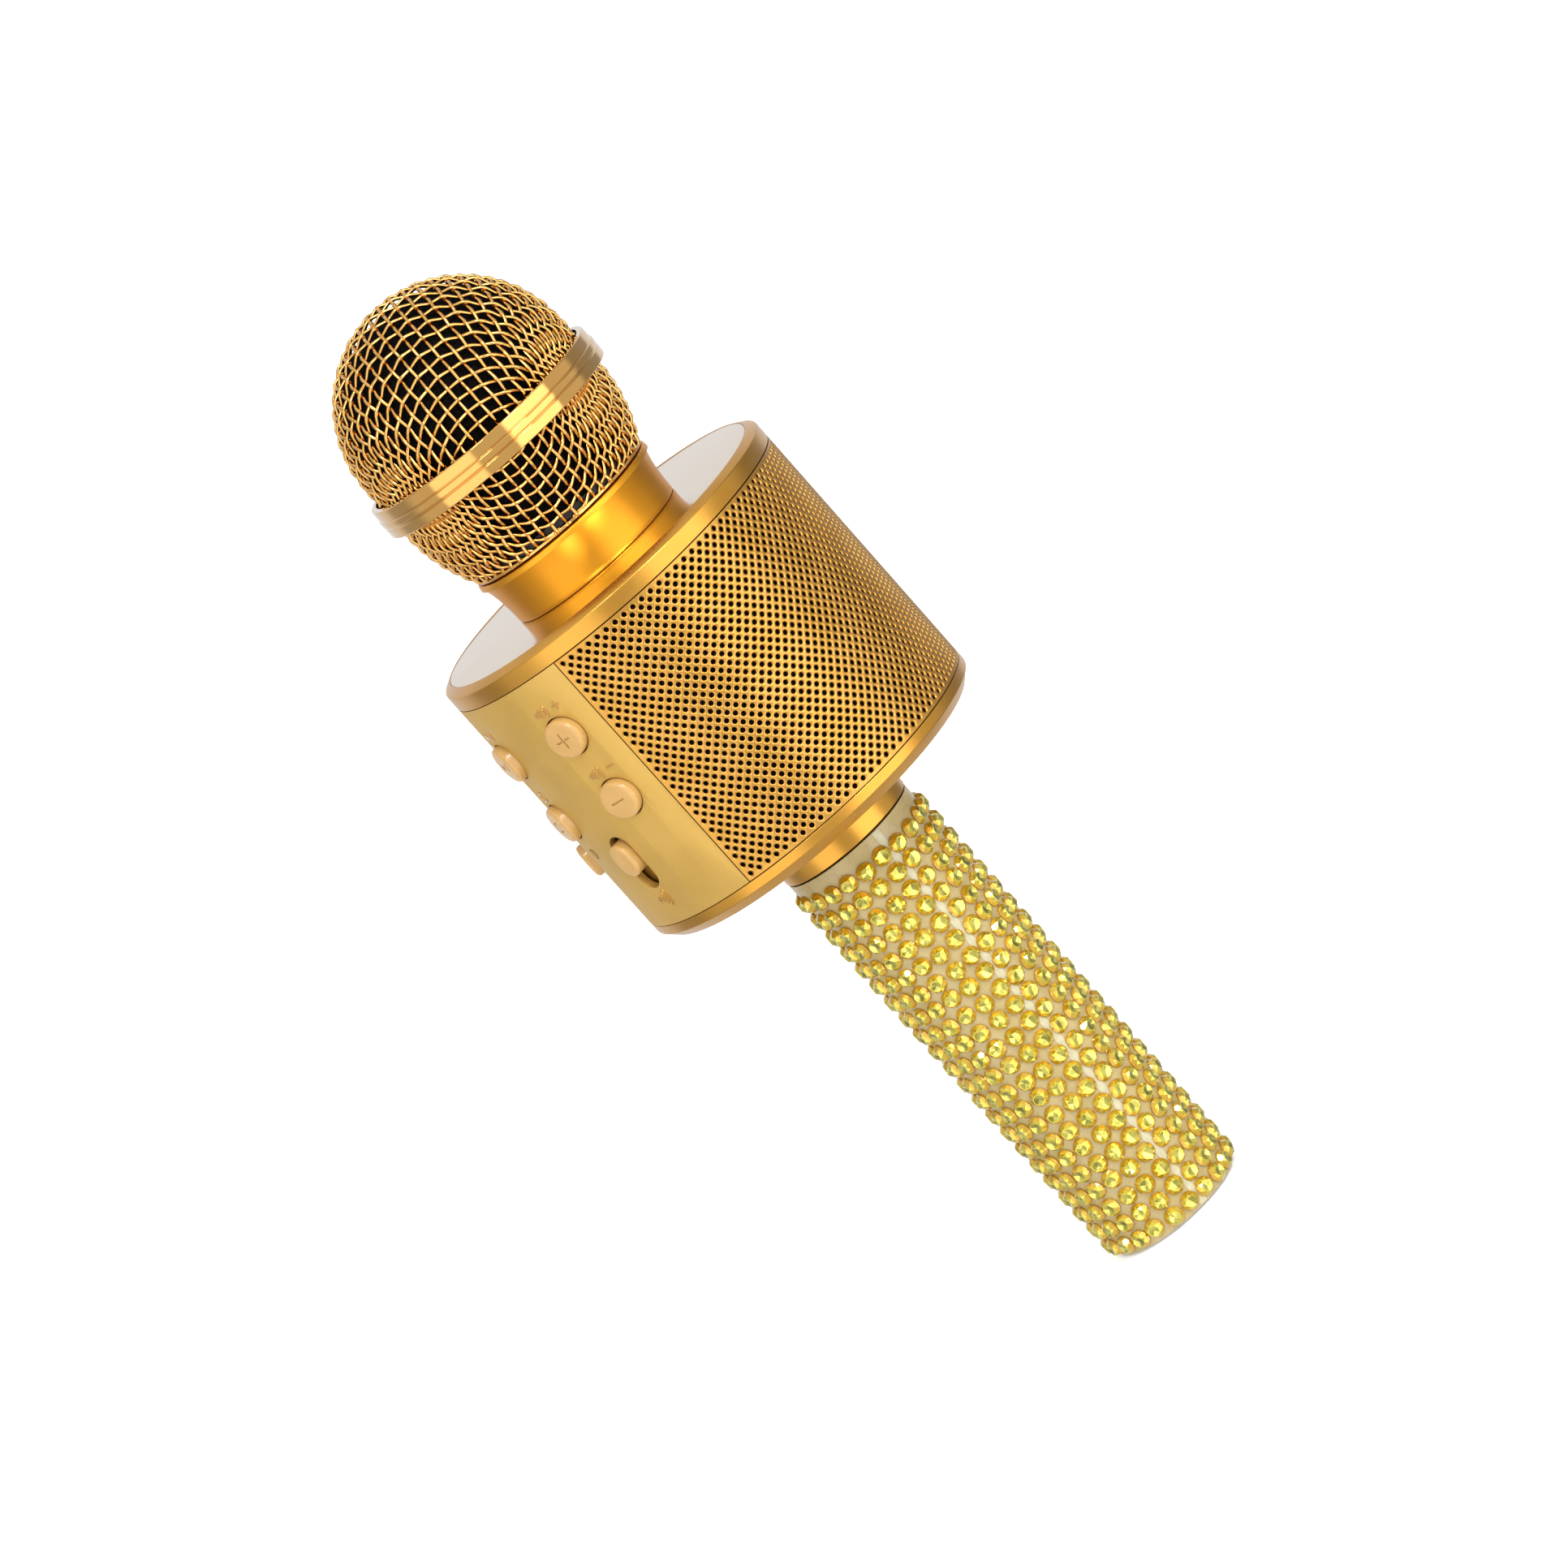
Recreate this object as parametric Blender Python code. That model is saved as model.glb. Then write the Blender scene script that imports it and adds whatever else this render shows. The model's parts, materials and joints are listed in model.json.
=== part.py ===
"""Karaoke microphone: a mesh ball head, a drum-shaped speaker body with a control
panel, and a stone-covered handle with a battery in it.

The origin is the centre of the handle's flat end. +Z runs up the microphone to the
head, and the control panel faces -Y. Lengths are in millimetres and are turned into
metres by MM as each mesh is made.
"""

import math

import bmesh
import bpy
from mathutils import Matrix

MM = 0.001
WELD = 0.000001
GAP = 0.3

# Levels along the microphone, from the handle's end up.
GRIP_BOTTOM = 0.2
GRIP_TOP = 100.2
ADAPTER_BOTTOM = 100.5
DRUM_BOTTOM = 108.9
SEAM_LOW = 113.2
SEAM_HIGH = 170.0
DISC_TOP = 174.4
COLLAR_TOP = 185.2
CUP_SHOULDER = 202.2
RING_BOTTOM = 203.3
RING_GROOVES = (205.7, 207.4)
RING_TOP = 209.8
DOME_CENTRE = 213.4

# Radii of the main round parts.
DRUM_R = 40.0
GRIP_R = 16.6
FILM_R = 14.9
TUBE_R = 14.6
TUBE_BORE_R = 13.0
ADAPTER_R = 15.2
WIRE_BORE_R = 8.0
COLLAR_R = 19.6
COLLAR_LIP_R = 21.4
BALL_R = 25.4
CUP_BOTTOM_R = 20.7
RING_R = 27.3

# Sheets and walls.
GRILLE_WALL = 0.8
PANEL_WALL = 1.6
PLATE = 2.2
COVER_EDGE = 2.2
LIP_OUTER_R = 38.0
LIP_INNER_R = 36.6
MESH_WALL = 0.9
CHASSIS_R = 36.2
CHASSIS_PLATE = 1.8

# Control panel: angles are in degrees from -Y towards +X.
PANEL_HALF_ANGLE = 47.0
PANEL_EDGE_GAP = 0.2
COLUMN_ANGLE = 34.0
SLIDER_ANGLE = 18.5
UPPER_ROW = SEAM_LOW + 43.6
LOWER_ROW = SEAM_LOW + 27.8
SLOT_CENTRE = SEAM_LOW + 15.05
SLOT_LENGTH = 13.1
SLOT_WIDTH = 6.0
KNOB_LENGTH = 7.5
KNOB_WIDTH = 5.4
KNOB_REST = 1.5
INDICATOR_Z = SEAM_LOW + 19.3
BUTTON_R = 4.2
CAP_TOP = 41.7
FLANGE_TOP = 37.7
FLANGE_BOTTOM = 36.9
STEM_END = 36.5
SWITCH_TOP = 35.7
BOARD_OUTER = 33.3
BOARD_INNER = 32.5
BOARD_HALF_ANGLE = 42.0

# Loudspeakers: they look out to -X and +X through the chassis walls.
BAFFLE_OUTER_X = 31.0
BAFFLE_WALL = 2.0
DRIVER_Z = 141.6
DRIVER_HOLE_R = 16.5

# Sockets on the rear face of the main board, reached from below.
MAIN_BOARD_Y = 24.0
MAIN_BOARD_WALL = 1.6
PORT_FACE = DRUM_BOTTOM + 0.3

ROUND_LARGE = 40
ROUND_MEDIUM = 24
ROUND_SMALL = 12

LOOKS = {
    "gold_satin": ((0.62, 0.40, 0.12), 0.38, 1.0),
    "gold_mesh": ((0.72, 0.42, 0.14), 0.30, 1.0),
    "gold_bright": ((0.85, 0.60, 0.25), 0.12, 1.0),
    "champagne": ((0.74, 0.64, 0.55), 0.08, 1.0),
    "panel": ((0.52, 0.36, 0.10), 0.42, 0.9),
    "button": ((0.78, 0.50, 0.24), 0.30, 0.0),
    "stones": ((0.62, 0.45, 0.12), 0.12, 0.1),
    "black_plastic": ((0.02, 0.02, 0.02), 0.55, 0.0),
    "foam": ((0.015, 0.013, 0.012), 0.95, 0.0),
    "rubber": ((0.03, 0.03, 0.03), 0.80, 0.0),
    "steel": ((0.60, 0.60, 0.62), 0.30, 1.0),
    "ferrite": ((0.06, 0.06, 0.065), 0.60, 0.3),
    "paper": ((0.05, 0.05, 0.055), 0.85, 0.0),
    "board": ((0.03, 0.20, 0.07), 0.45, 0.0),
    "cell": ((0.10, 0.28, 0.55), 0.35, 0.0),
    "lens": ((0.75, 0.82, 0.90), 0.15, 0.0),
}


def clear_scene():
    for obj in list(bpy.data.objects):
        bpy.data.objects.remove(obj, do_unlink=True)


def look(name):
    """Material with the colour, roughness and metal value of one look."""
    material = bpy.data.materials.get(name)
    if material is None:
        colour, roughness, metal = LOOKS[name]
        material = bpy.data.materials.new(name)
        material.use_nodes = True
        shader = material.node_tree.nodes["Principled BSDF"]
        shader.inputs["Base Color"].default_value = (*colour, 1.0)
        shader.inputs["Roughness"].default_value = roughness
        shader.inputs["Metallic"].default_value = metal
    return material


def finish_mesh(name, bm, finish):
    """Object from an edit mesh, welded, facing out and smooth on its round faces."""
    bmesh.ops.remove_doubles(bm, verts=bm.verts, dist=WELD)
    bmesh.ops.recalc_face_normals(bm, faces=bm.faces)
    mesh = bpy.data.meshes.new(name)
    bm.to_mesh(mesh)
    bm.free()
    mesh.shade_smooth()
    mesh.set_sharp_from_angle(angle=math.radians(35))
    mesh.materials.append(look(finish))
    obj = bpy.data.objects.new(name, mesh)
    bpy.context.scene.collection.objects.link(obj)
    return obj


def turned(name, outline, finish, steps):
    """Outline of (radius, height) points turned once round Z."""
    bm = bmesh.new()
    points = [bm.verts.new((r * MM, 0, z * MM)) for r, z in outline]
    edges = [bm.edges.new(pair) for pair in zip(points, points[1:])]
    if outline[0][0] > 0 or outline[-1][0] > 0:
        edges.append(bm.edges.new((points[-1], points[0])))
    bmesh.ops.spin(bm, geom=points + edges, axis=(0, 0, 1), cent=(0, 0, 0),
                   angle=2 * math.pi, steps=steps, use_merge=True)
    return finish_mesh(name, bm, finish)


def part_turned(name, outline, first, last, finish, steps):
    """Outline swept round Z from one panel angle to another, with closed ends."""
    bm = bmesh.new()
    start = math.radians(first)
    points = []
    for r, z in outline:
        points.append(bm.verts.new((r * math.sin(start) * MM, -r * math.cos(start) * MM, z * MM)))
    face = bm.faces.new(points)
    bmesh.ops.spin(bm, geom=[face], axis=(0, 0, 1), cent=(0, 0, 0),
                   angle=math.radians(last - first), steps=steps)
    return finish_mesh(name, bm, finish)


def sheet_outline(inner, outer, low, high):
    return [(inner, low), (outer, low), (outer, high), (inner, high)]


def box(name, size, centre, finish):
    bm = bmesh.new()
    place = Matrix.Translation([c * MM for c in centre])
    bmesh.ops.create_cube(bm, size=1.0, matrix=place @ Matrix.Diagonal([s * MM for s in size] + [1]))
    return finish_mesh(name, bm, finish)


def stadium(name, levels, finish):
    """Round-ended blocks stacked into one body, from (length, width, height) levels."""
    bm = bmesh.new()
    arc_steps = 5
    rows = []
    for length, width, height in levels:
        row = []
        for end in (1, -1):
            for step in range(arc_steps + 1):
                turn = math.pi * step / arc_steps
                x = end * math.cos(turn) * width / 2
                y = end * (math.sin(turn) * width / 2 + (length - width) / 2)
                row.append(bm.verts.new((x * MM, y * MM, height * MM)))
        rows.append(row)
    for lower, upper in zip(rows, rows[1:]):
        for i in range(len(lower)):
            j = (i + 1) % len(lower)
            bm.faces.new((lower[i], lower[j], upper[j], upper[i]))
    bm.faces.new(rows[0])
    bm.faces.new(rows[-1])
    return finish_mesh(name, bm, finish)


def face_out(obj, angle, height):
    """Turn a piece modelled up its own Z so that it looks out of the drum at a panel angle."""
    turn = math.radians(angle)
    axes = Matrix((
        (math.cos(turn), 0, math.sin(turn)),
        (math.sin(turn), 0, -math.cos(turn)),
        (0, 1, 0)))
    obj.rotation_euler = axes.to_euler()
    obj.location = (0, 0, height * MM)
    return obj


def as_tool(obj):
    obj.hide_render = True
    obj.display_type = "WIRE"
    return obj


def combine(target, tool, operation):
    modifier = target.modifiers.new(tool.name, "BOOLEAN")
    modifier.operation = operation
    modifier.object = as_tool(tool)
    modifier.solver = "EXACT"


def cut(target, tool):
    combine(target, tool, "DIFFERENCE")


def add(target, tool):
    combine(target, tool, "UNION")


def arc(centre_r, centre_z, radius, first, last, steps):
    """Points of an arc in the (radius, height) plane, between two angles in degrees."""
    points = []
    for step in range(steps + 1):
        turn = math.radians(first + (last - first) * step / steps)
        points.append((centre_r + radius * math.cos(turn), centre_z + radius * math.sin(turn)))
    return points


def cable(name, route, radius, finish, per_span=4):
    """Round lead along a smooth curve through the route's points."""
    curve = bpy.data.curves.new(name, "CURVE")
    curve.dimensions = "3D"
    curve.bevel_depth = radius * MM
    curve.bevel_resolution = 1
    curve.use_fill_caps = True
    samples = []
    padded = [route[0]] + route + [route[-1]]
    for span in range(len(route) - 1):
        before, start, end, after = padded[span:span + 4]
        for step in range(per_span):
            samples.append(catmull_rom(before, start, end, after, step / per_span))
    samples.append(route[-1])
    spline = curve.splines.new("POLY")
    spline.points.add(len(samples) - 1)
    for point, sample in zip(spline.points, samples):
        point.co = (*[c * MM for c in sample], 1.0)
    curve.materials.append(look(finish))
    obj = bpy.data.objects.new(name, curve)
    bpy.context.scene.collection.objects.link(obj)
    return obj


def catmull_rom(before, start, end, after, t):
    point = []
    for a, b, c, d in zip(before, start, end, after):
        point.append(0.5 * (2 * b + (c - a) * t + (2 * a - 5 * b + 4 * c - d) * t ** 2
                            + (3 * b - a - 3 * c + d) * t ** 3))
    return point


# ------------------------------------------------------------------ handle

def make_handle():
    turned("end_cap", [
        (0, 0), (12.3, 0), (12.7, 0.4), (12.7, 7.0), (11.2, 7.0), (11.2, 1.5), (0, 1.5)],
        "gold_satin", ROUND_MEDIUM)
    turned("handle_tube", sheet_outline(TUBE_BORE_R, TUBE_R, GRIP_BOTTOM, GRIP_TOP),
           "black_plastic", ROUND_MEDIUM)
    turned("rhinestone_sleeve", sheet_outline(FILM_R, GRIP_R, GRIP_BOTTOM, GRIP_TOP),
           "stones", ROUND_MEDIUM)
    turned("handle_adapter", [
        (WIRE_BORE_R, 92.0), (12.7, 92.0), (12.7, ADAPTER_BOTTOM), (ADAPTER_R, ADAPTER_BOTTOM),
        (ADAPTER_R, DRUM_BOTTOM - GAP), (9.7, DRUM_BOTTOM - GAP),
        (9.7, DRUM_BOTTOM + PLATE + 2.0), (WIRE_BORE_R, DRUM_BOTTOM + PLATE + 2.0)],
        "gold_satin", ROUND_MEDIUM)


def make_battery():
    low, high = 20.0, 85.0
    tray_low, tray_high = 14.0, 90.0
    wall = 1.6
    turned("battery", [
        (0, low), (8.7, low), (9.1, low + 0.4), (9.1, high - 0.4), (8.7, high), (2.8, high),
        (2.8, high + 1.0), (0, high + 1.0)],
        "cell", ROUND_SMALL)
    part_turned("battery_tray", [
        (0, tray_low), (11.2, tray_low), (11.2, tray_high), (0, tray_high),
        (0, tray_high - wall), (9.6, tray_high - wall), (9.6, tray_low + wall), (0, tray_low + wall)],
        90, 270, "black_plastic", 12)
    turned("battery_contact", [(0, high + 1.3), (4.0, high + 1.3), (4.0, 88.0), (0, 88.0)],
           "steel", ROUND_SMALL)
    turns = 3
    points_per_turn = 8
    coil = []
    for step in range(turns * points_per_turn + 1):
        turn = 2 * math.pi * step / points_per_turn
        rise = step / (turns * points_per_turn)
        radius = 5.5 - 1.5 * rise
        coil.append((radius * math.cos(turn), radius * math.sin(turn), 16.4 + 2.9 * rise))
    cable("battery_spring", coil, 0.35, "steel", per_span=1)


# ------------------------------------------------------------- drum casing

def make_covers():
    plate_top = DRUM_BOTTOM + PLATE
    bottom = turned("bottom_cover", [
        (10.0, DRUM_BOTTOM), (DRUM_R - COVER_EDGE, DRUM_BOTTOM), (DRUM_R, DRUM_BOTTOM + COVER_EDGE),
        (DRUM_R, SEAM_LOW - 0.15), (LIP_OUTER_R, SEAM_LOW - 0.15), (LIP_OUTER_R, SEAM_LOW + 2.8),
        (LIP_INNER_R, SEAM_LOW + 2.8), (LIP_INNER_R, plate_top), (10.0, plate_top)],
        "gold_satin", ROUND_LARGE)
    turned("top_cover", [
        (15.5, 170.8), (LIP_INNER_R, 170.8), (LIP_INNER_R, 167.5), (LIP_OUTER_R, 167.5),
        (LIP_OUTER_R, SEAM_HIGH + 0.15), (DRUM_R, SEAM_HIGH + 0.15), (DRUM_R, DISC_TOP - 1.1),
        (DRUM_R - COVER_EDGE, DISC_TOP), (DRUM_R - COVER_EDGE, 172.8), (15.5, 172.8)],
        "gold_satin", ROUND_LARGE)
    turned("top_disc", sheet_outline(15.5, 37.5, 173.1, DISC_TOP), "champagne", ROUND_LARGE)
    return bottom


def make_speaker_grille():
    """Curved sheet round the back and sides; its ends stand beside the panel."""
    part_turned("speaker_grille",
                sheet_outline(DRUM_R - GRILLE_WALL, DRUM_R, SEAM_LOW + 0.25, SEAM_HIGH - 0.25),
                PANEL_HALF_ANGLE + PANEL_EDGE_GAP, 360 - PANEL_HALF_ANGLE - PANEL_EDGE_GAP,
                "gold_mesh", 40)


def make_control_panel():
    panel = part_turned("control_panel",
                        sheet_outline(DRUM_R - PANEL_WALL, DRUM_R, SEAM_LOW + 0.1, SEAM_HIGH - 0.1),
                        -PANEL_HALF_ANGLE + PANEL_EDGE_GAP, PANEL_HALF_ANGLE - PANEL_EDGE_GAP,
                        "panel", 20)
    for name, angle, height in button_places():
        hole = turned("hole_" + name, [(0, 35), (BUTTON_R + GAP, 35), (BUTTON_R + GAP, 45), (0, 45)],
                      "panel", ROUND_SMALL)
        cut(panel, face_out(hole, angle, height))
    for name, angle in slider_places():
        slot = stadium("slot_" + name, [(SLOT_LENGTH, SLOT_WIDTH, 35), (SLOT_LENGTH, SLOT_WIDTH, 45)],
                       "panel")
        cut(panel, face_out(slot, angle, SLOT_CENTRE))
    window = turned("window_hole", [(0, 35), (1.3, 35), (1.3, 45), (0, 45)], "panel", 12)
    cut(panel, face_out(window, 0, INDICATOR_Z))
    lens = turned("indicator_lens", [(0, 37.3), (1.8, 37.3), (1.8, 37.9), (1.0, 37.9), (1.0, 40.2), (0, 40.4)],
                  "lens", 12)
    face_out(lens, 0, INDICATOR_Z)


def button_places():
    return [
        ("volume_up", COLUMN_ANGLE, UPPER_ROW),
        ("volume_down", COLUMN_ANGLE, LOWER_ROW),
        ("play", 0.0, UPPER_ROW),
        ("mode", 0.0, LOWER_ROW),
        ("next", -COLUMN_ANGLE, UPPER_ROW),
        ("previous", -COLUMN_ANGLE, LOWER_ROW)]


def slider_places():
    return [("echo", SLIDER_ANGLE), ("voice", -SLIDER_ANGLE)]


def make_buttons():
    for name, angle, height in button_places():
        button = turned("button_" + name, [
            (0, STEM_END), (1.6, STEM_END), (1.6, FLANGE_BOTTOM), (5.2, FLANGE_BOTTOM),
            (5.2, FLANGE_TOP), (BUTTON_R, FLANGE_TOP), (BUTTON_R, CAP_TOP - 0.5),
            (BUTTON_R - 0.15, CAP_TOP - 0.15), (BUTTON_R - 0.5, CAP_TOP), (0, CAP_TOP)],
            "button", ROUND_SMALL)
        face_out(button, angle, height)
        switch = stepped_block("switch_" + name, (6.0, 6.0), (2.6, 2.6),
                               BOARD_OUTER + GAP, SWITCH_TOP - 0.8, SWITCH_TOP, "black_plastic")
        face_out(switch, angle, height)


def stepped_block(name, foot, top, low, middle, high, finish):
    """Square block with a smaller square block standing on it, as one body."""
    bm = bmesh.new()
    corners = ((-1, -1), (1, -1), (1, 1), (-1, 1))
    levels = ((foot, low), (foot, middle), (top, middle), (top, high))
    rows = []
    for (width, length), height in levels:
        rows.append([bm.verts.new((x * width / 2 * MM, y * length / 2 * MM, height * MM))
                     for x, y in corners])
    for lower, upper in zip(rows, rows[1:]):
        for i in range(4):
            j = (i + 1) % 4
            bm.faces.new((lower[i], lower[j], upper[j], upper[i]))
    bm.faces.new(rows[0])
    bm.faces.new(rows[-1])
    return finish_mesh(name, bm, finish)


def make_sliders():
    for name, angle in slider_places():
        knob = stadium("slider_knob_" + name, [
            (3.0, 1.6, STEM_END), (3.0, 1.6, FLANGE_BOTTOM),
            (KNOB_LENGTH + 2.0, KNOB_WIDTH + 2.0, FLANGE_BOTTOM),
            (KNOB_LENGTH + 2.0, KNOB_WIDTH + 2.0, FLANGE_TOP),
            (KNOB_LENGTH, KNOB_WIDTH, FLANGE_TOP), (KNOB_LENGTH, KNOB_WIDTH, CAP_TOP - 0.6),
            (KNOB_LENGTH - 0.5, KNOB_WIDTH - 0.5, CAP_TOP - 0.1)],
            "button")
        face_out(knob, angle, SLOT_CENTRE + KNOB_REST)
        track = stepped_block("slider_track_" + name, (5.0, 20.0), (3.6, 16.0),
                              BOARD_OUTER + GAP, SWITCH_TOP - 0.4, SWITCH_TOP + 0.4, "black_plastic")
        face_out(track, angle, SLOT_CENTRE)


# ---------------------------------------------------------- inside the drum

def make_chassis():
    """Two round plates held apart by the walls that carry the loudspeakers."""
    low = DRUM_BOTTOM + PLATE + GAP
    high = 170.5
    chassis = turned("speaker_chassis", sheet_outline(15.8, CHASSIS_R, low, low + CHASSIS_PLATE),
                     "black_plastic", ROUND_MEDIUM)
    upper = turned("chassis_upper_plate",
                   sheet_outline(15.8, CHASSIS_R, high - CHASSIS_PLATE, high),
                   "black_plastic", ROUND_MEDIUM)
    for side, sign in (("left", -1), ("right", 1)):
        wall = box("chassis_wall_" + side, (BAFFLE_WALL, 38.0, high - low - 1.0),
                   (sign * (BAFFLE_OUTER_X - BAFFLE_WALL / 2), 0, (low + high) / 2), "black_plastic")
        add(chassis, wall)
    add(chassis, upper)
    for side, turn in (("left", -math.pi / 2), ("right", math.pi / 2)):
        hole = turned("driver_hole_" + side,
                      [(0, 20), (DRIVER_HOLE_R, 20), (DRIVER_HOLE_R, 40), (0, 40)],
                      "black_plastic", ROUND_MEDIUM)
        hole.rotation_euler = (0, turn, 0)
        hole.location = (0, 0, DRIVER_Z * MM)
        cut(chassis, hole)
    return chassis


def make_drivers():
    """One loudspeaker a side: a basket, a magnet with its pole, and the cone that moves."""
    front = BAFFLE_OUTER_X
    for side, turn in (("left", -math.pi / 2), ("right", math.pi / 2)):
        pieces = [
            turned("driver_basket_" + side, [
                (7.0, front - 10.4), (11.2, front - 10.4), (16.0, front - 0.4), (16.0, front + GAP),
                (18.0, front + GAP), (18.0, front + 1.5), (15.2, front + 1.5), (15.2, front),
                (10.2, front - 9.2), (7.0, front - 9.2)],
                "steel", ROUND_SMALL + 8),
            turned("driver_magnet_" + side, [
                (0, front - 17.7), (12.0, front - 17.7), (12.0, front - 10.7), (4.5, front - 10.7),
                (4.5, front - 6.0), (0, front - 6.0)],
                "ferrite", ROUND_SMALL + 4),
            turned("driver_cone_" + side, [
                (0, front - 3.2), (5.0, front - 4.3), (5.0, front - 9.0), (5.6, front - 9.0),
                (5.6, front - 4.6), (12.2, front + 0.3), (13.2, front + 0.9), (14.7, front + 0.6),
                (14.7, front + 1.2), (13.2, front + 1.6), (12.0, front + 1.0), (5.6, front - 3.8),
                (3.0, front - 2.7), (0, front - 2.3)],
                "paper", ROUND_SMALL + 4)]
        for piece in pieces:
            piece.rotation_euler = (0, turn, 0)
            piece.location = (0, 0, DRIVER_Z * MM)


def make_boards():
    low = DRUM_BOTTOM + PLATE + CHASSIS_PLATE + 2 * GAP
    high = 170.5 - CHASSIS_PLATE - GAP
    box("main_board", (48.0, MAIN_BOARD_WALL, high - low), (0, MAIN_BOARD_Y, (low + high) / 2), "board")
    part_turned("button_board", sheet_outline(BOARD_INNER, BOARD_OUTER, low, high),
                -BOARD_HALF_ANGLE, BOARD_HALF_ANGLE, "board", 18)


def make_ports(bottom, chassis):
    """Charging, audio and card sockets, each let into the bottom cover."""
    rear = MAIN_BOARD_Y + MAIN_BOARD_WALL / 2 + GAP
    charge = box("charge_port", (7.6, 2.8, 6.5), (0, rear + 1.4, PORT_FACE + 3.25), "steel")
    cut(charge, box("charge_port_mouth", (6.6, 1.8, 5.0), (0, rear + 1.4, PORT_FACE + 2.0), "steel"))
    cut(bottom, box("charge_port_hole", (8.2, 3.4, 8.0), (0, rear + 1.4, DRUM_BOTTOM), "steel"))

    jack_x = -9.5
    jack = turned("audio_jack", [
        (1.75, PORT_FACE), (3.0, PORT_FACE), (3.0, PORT_FACE + 12), (0, PORT_FACE + 12),
        (0, PORT_FACE + 10.5), (1.75, PORT_FACE + 10.5)][::-1], "black_plastic", ROUND_SMALL)
    jack.location = (jack_x * MM, (rear + 3.0) * MM, 0)
    jack_hole = turned("audio_jack_hole", [(0, 105), (3.3, 105), (3.3, 118), (0, 118)],
                       "steel", ROUND_SMALL)
    jack_hole.location = jack.location
    cut(bottom, jack_hole)
    cut(chassis, jack_hole)

    card_x = 12.0
    card = box("card_slot", (13.6, 2.8, 14.0), (card_x, rear + 1.4, PORT_FACE + 7.0), "steel")
    cut(card, box("card_slot_mouth", (11.4, 1.0, 12.0), (card_x, rear + 1.4, PORT_FACE + 5.0), "steel"))
    cut(bottom, box("card_slot_hole", (14.2, 3.4, 8.0), (card_x, rear + 1.4, DRUM_BOTTOM), "steel"))
    cut(chassis, box("port_bay", (24.5, 3.8, 12.0), (7.2, rear + 1.4, DRUM_BOTTOM), "black_plastic"))


def make_cover_screws(bottom, chassis):
    """Four screws up through the bottom cover into the chassis."""
    circle_r = 32.0
    head_low = DRUM_BOTTOM + 0.2
    for number, angle in enumerate((30, 150, 210, 330)):
        turn = math.radians(angle)
        place = (circle_r * math.cos(turn) * MM, circle_r * math.sin(turn) * MM, 0)
        screw = turned("cover_screw_%d" % (number + 1), [
            (0, head_low + 0.5), (0.7, head_low + 0.5), (0.9, head_low), (2.5, head_low),
            (2.5, head_low + 0.9), (1.25, head_low + 0.9), (1.25, 114.4), (0.8, 115.0), (0, 115.0)],
            "steel", 10)
        screw.location = place
        seat = turned("screw_seat_%d" % (number + 1), [
            (0, 105), (2.8, 105), (2.8, head_low + 1.2), (1.55, head_low + 1.2), (1.55, 120), (0, 120)],
            "steel", 10)
        seat.location = place
        cut(bottom, seat)
        cut(chassis, seat)


# -------------------------------------------------------------------- head

def make_collar():
    neck_r, neck_bore = 15.1, 13.6
    shelf = 176.5
    neck_low = 164.0
    lip_low = COLLAR_TOP - 1.2
    turned("grille_collar", [
        (neck_bore, neck_low), (neck_r, neck_low), (neck_r, DISC_TOP + 0.25), (COLLAR_R, DISC_TOP + 0.25),
        (COLLAR_R + 0.3, 180.0), (COLLAR_R + 0.9, 183.0), (COLLAR_LIP_R, lip_low),
        (COLLAR_LIP_R, COLLAR_TOP - 0.2), (COLLAR_LIP_R - 0.3, COLLAR_TOP), (17.6, COLLAR_TOP),
        (17.6, shelf), (neck_bore, shelf)],
        "gold_satin", ROUND_LARGE)
    nut_high = 170.5 - CHASSIS_PLATE - GAP
    turned("neck_nut", sheet_outline(neck_r + GAP, 17.6, nut_high - 3.5, nut_high), "steel", ROUND_MEDIUM)
    turned("capsule_post", [
        (11.4, shelf + GAP), (15.2, shelf + GAP), (15.2, shelf + 1.8), (13.0, shelf + 1.8),
        (13.0, 194.0), (11.4, 194.0)],
        "black_plastic", ROUND_MEDIUM)
    turned("capsule_cradle", [
        (0, 194.3), (13.4, 194.3), (13.4, 200.0), (11.3, 200.0), (11.3, 195.7), (0, 195.7)],
        "rubber", ROUND_MEDIUM)
    turned("mic_capsule", [
        (0, 196.0), (11.0, 196.0), (11.0, 209.0), (10.2, 210.2), (8.4, 211.0), (0, 211.6)],
        "steel", ROUND_MEDIUM)


def cup_radius(height):
    """Outer radius of the lower mesh cup, which swells as a parabola to the ball's radius."""
    low, high = COLLAR_TOP + GAP, CUP_SHOULDER
    rise = min(max((height - low) / (high - low), 0.0), 1.0)
    return BALL_R - (BALL_R - CUP_BOTTOM_R) * (1 - rise) ** 2


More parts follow.
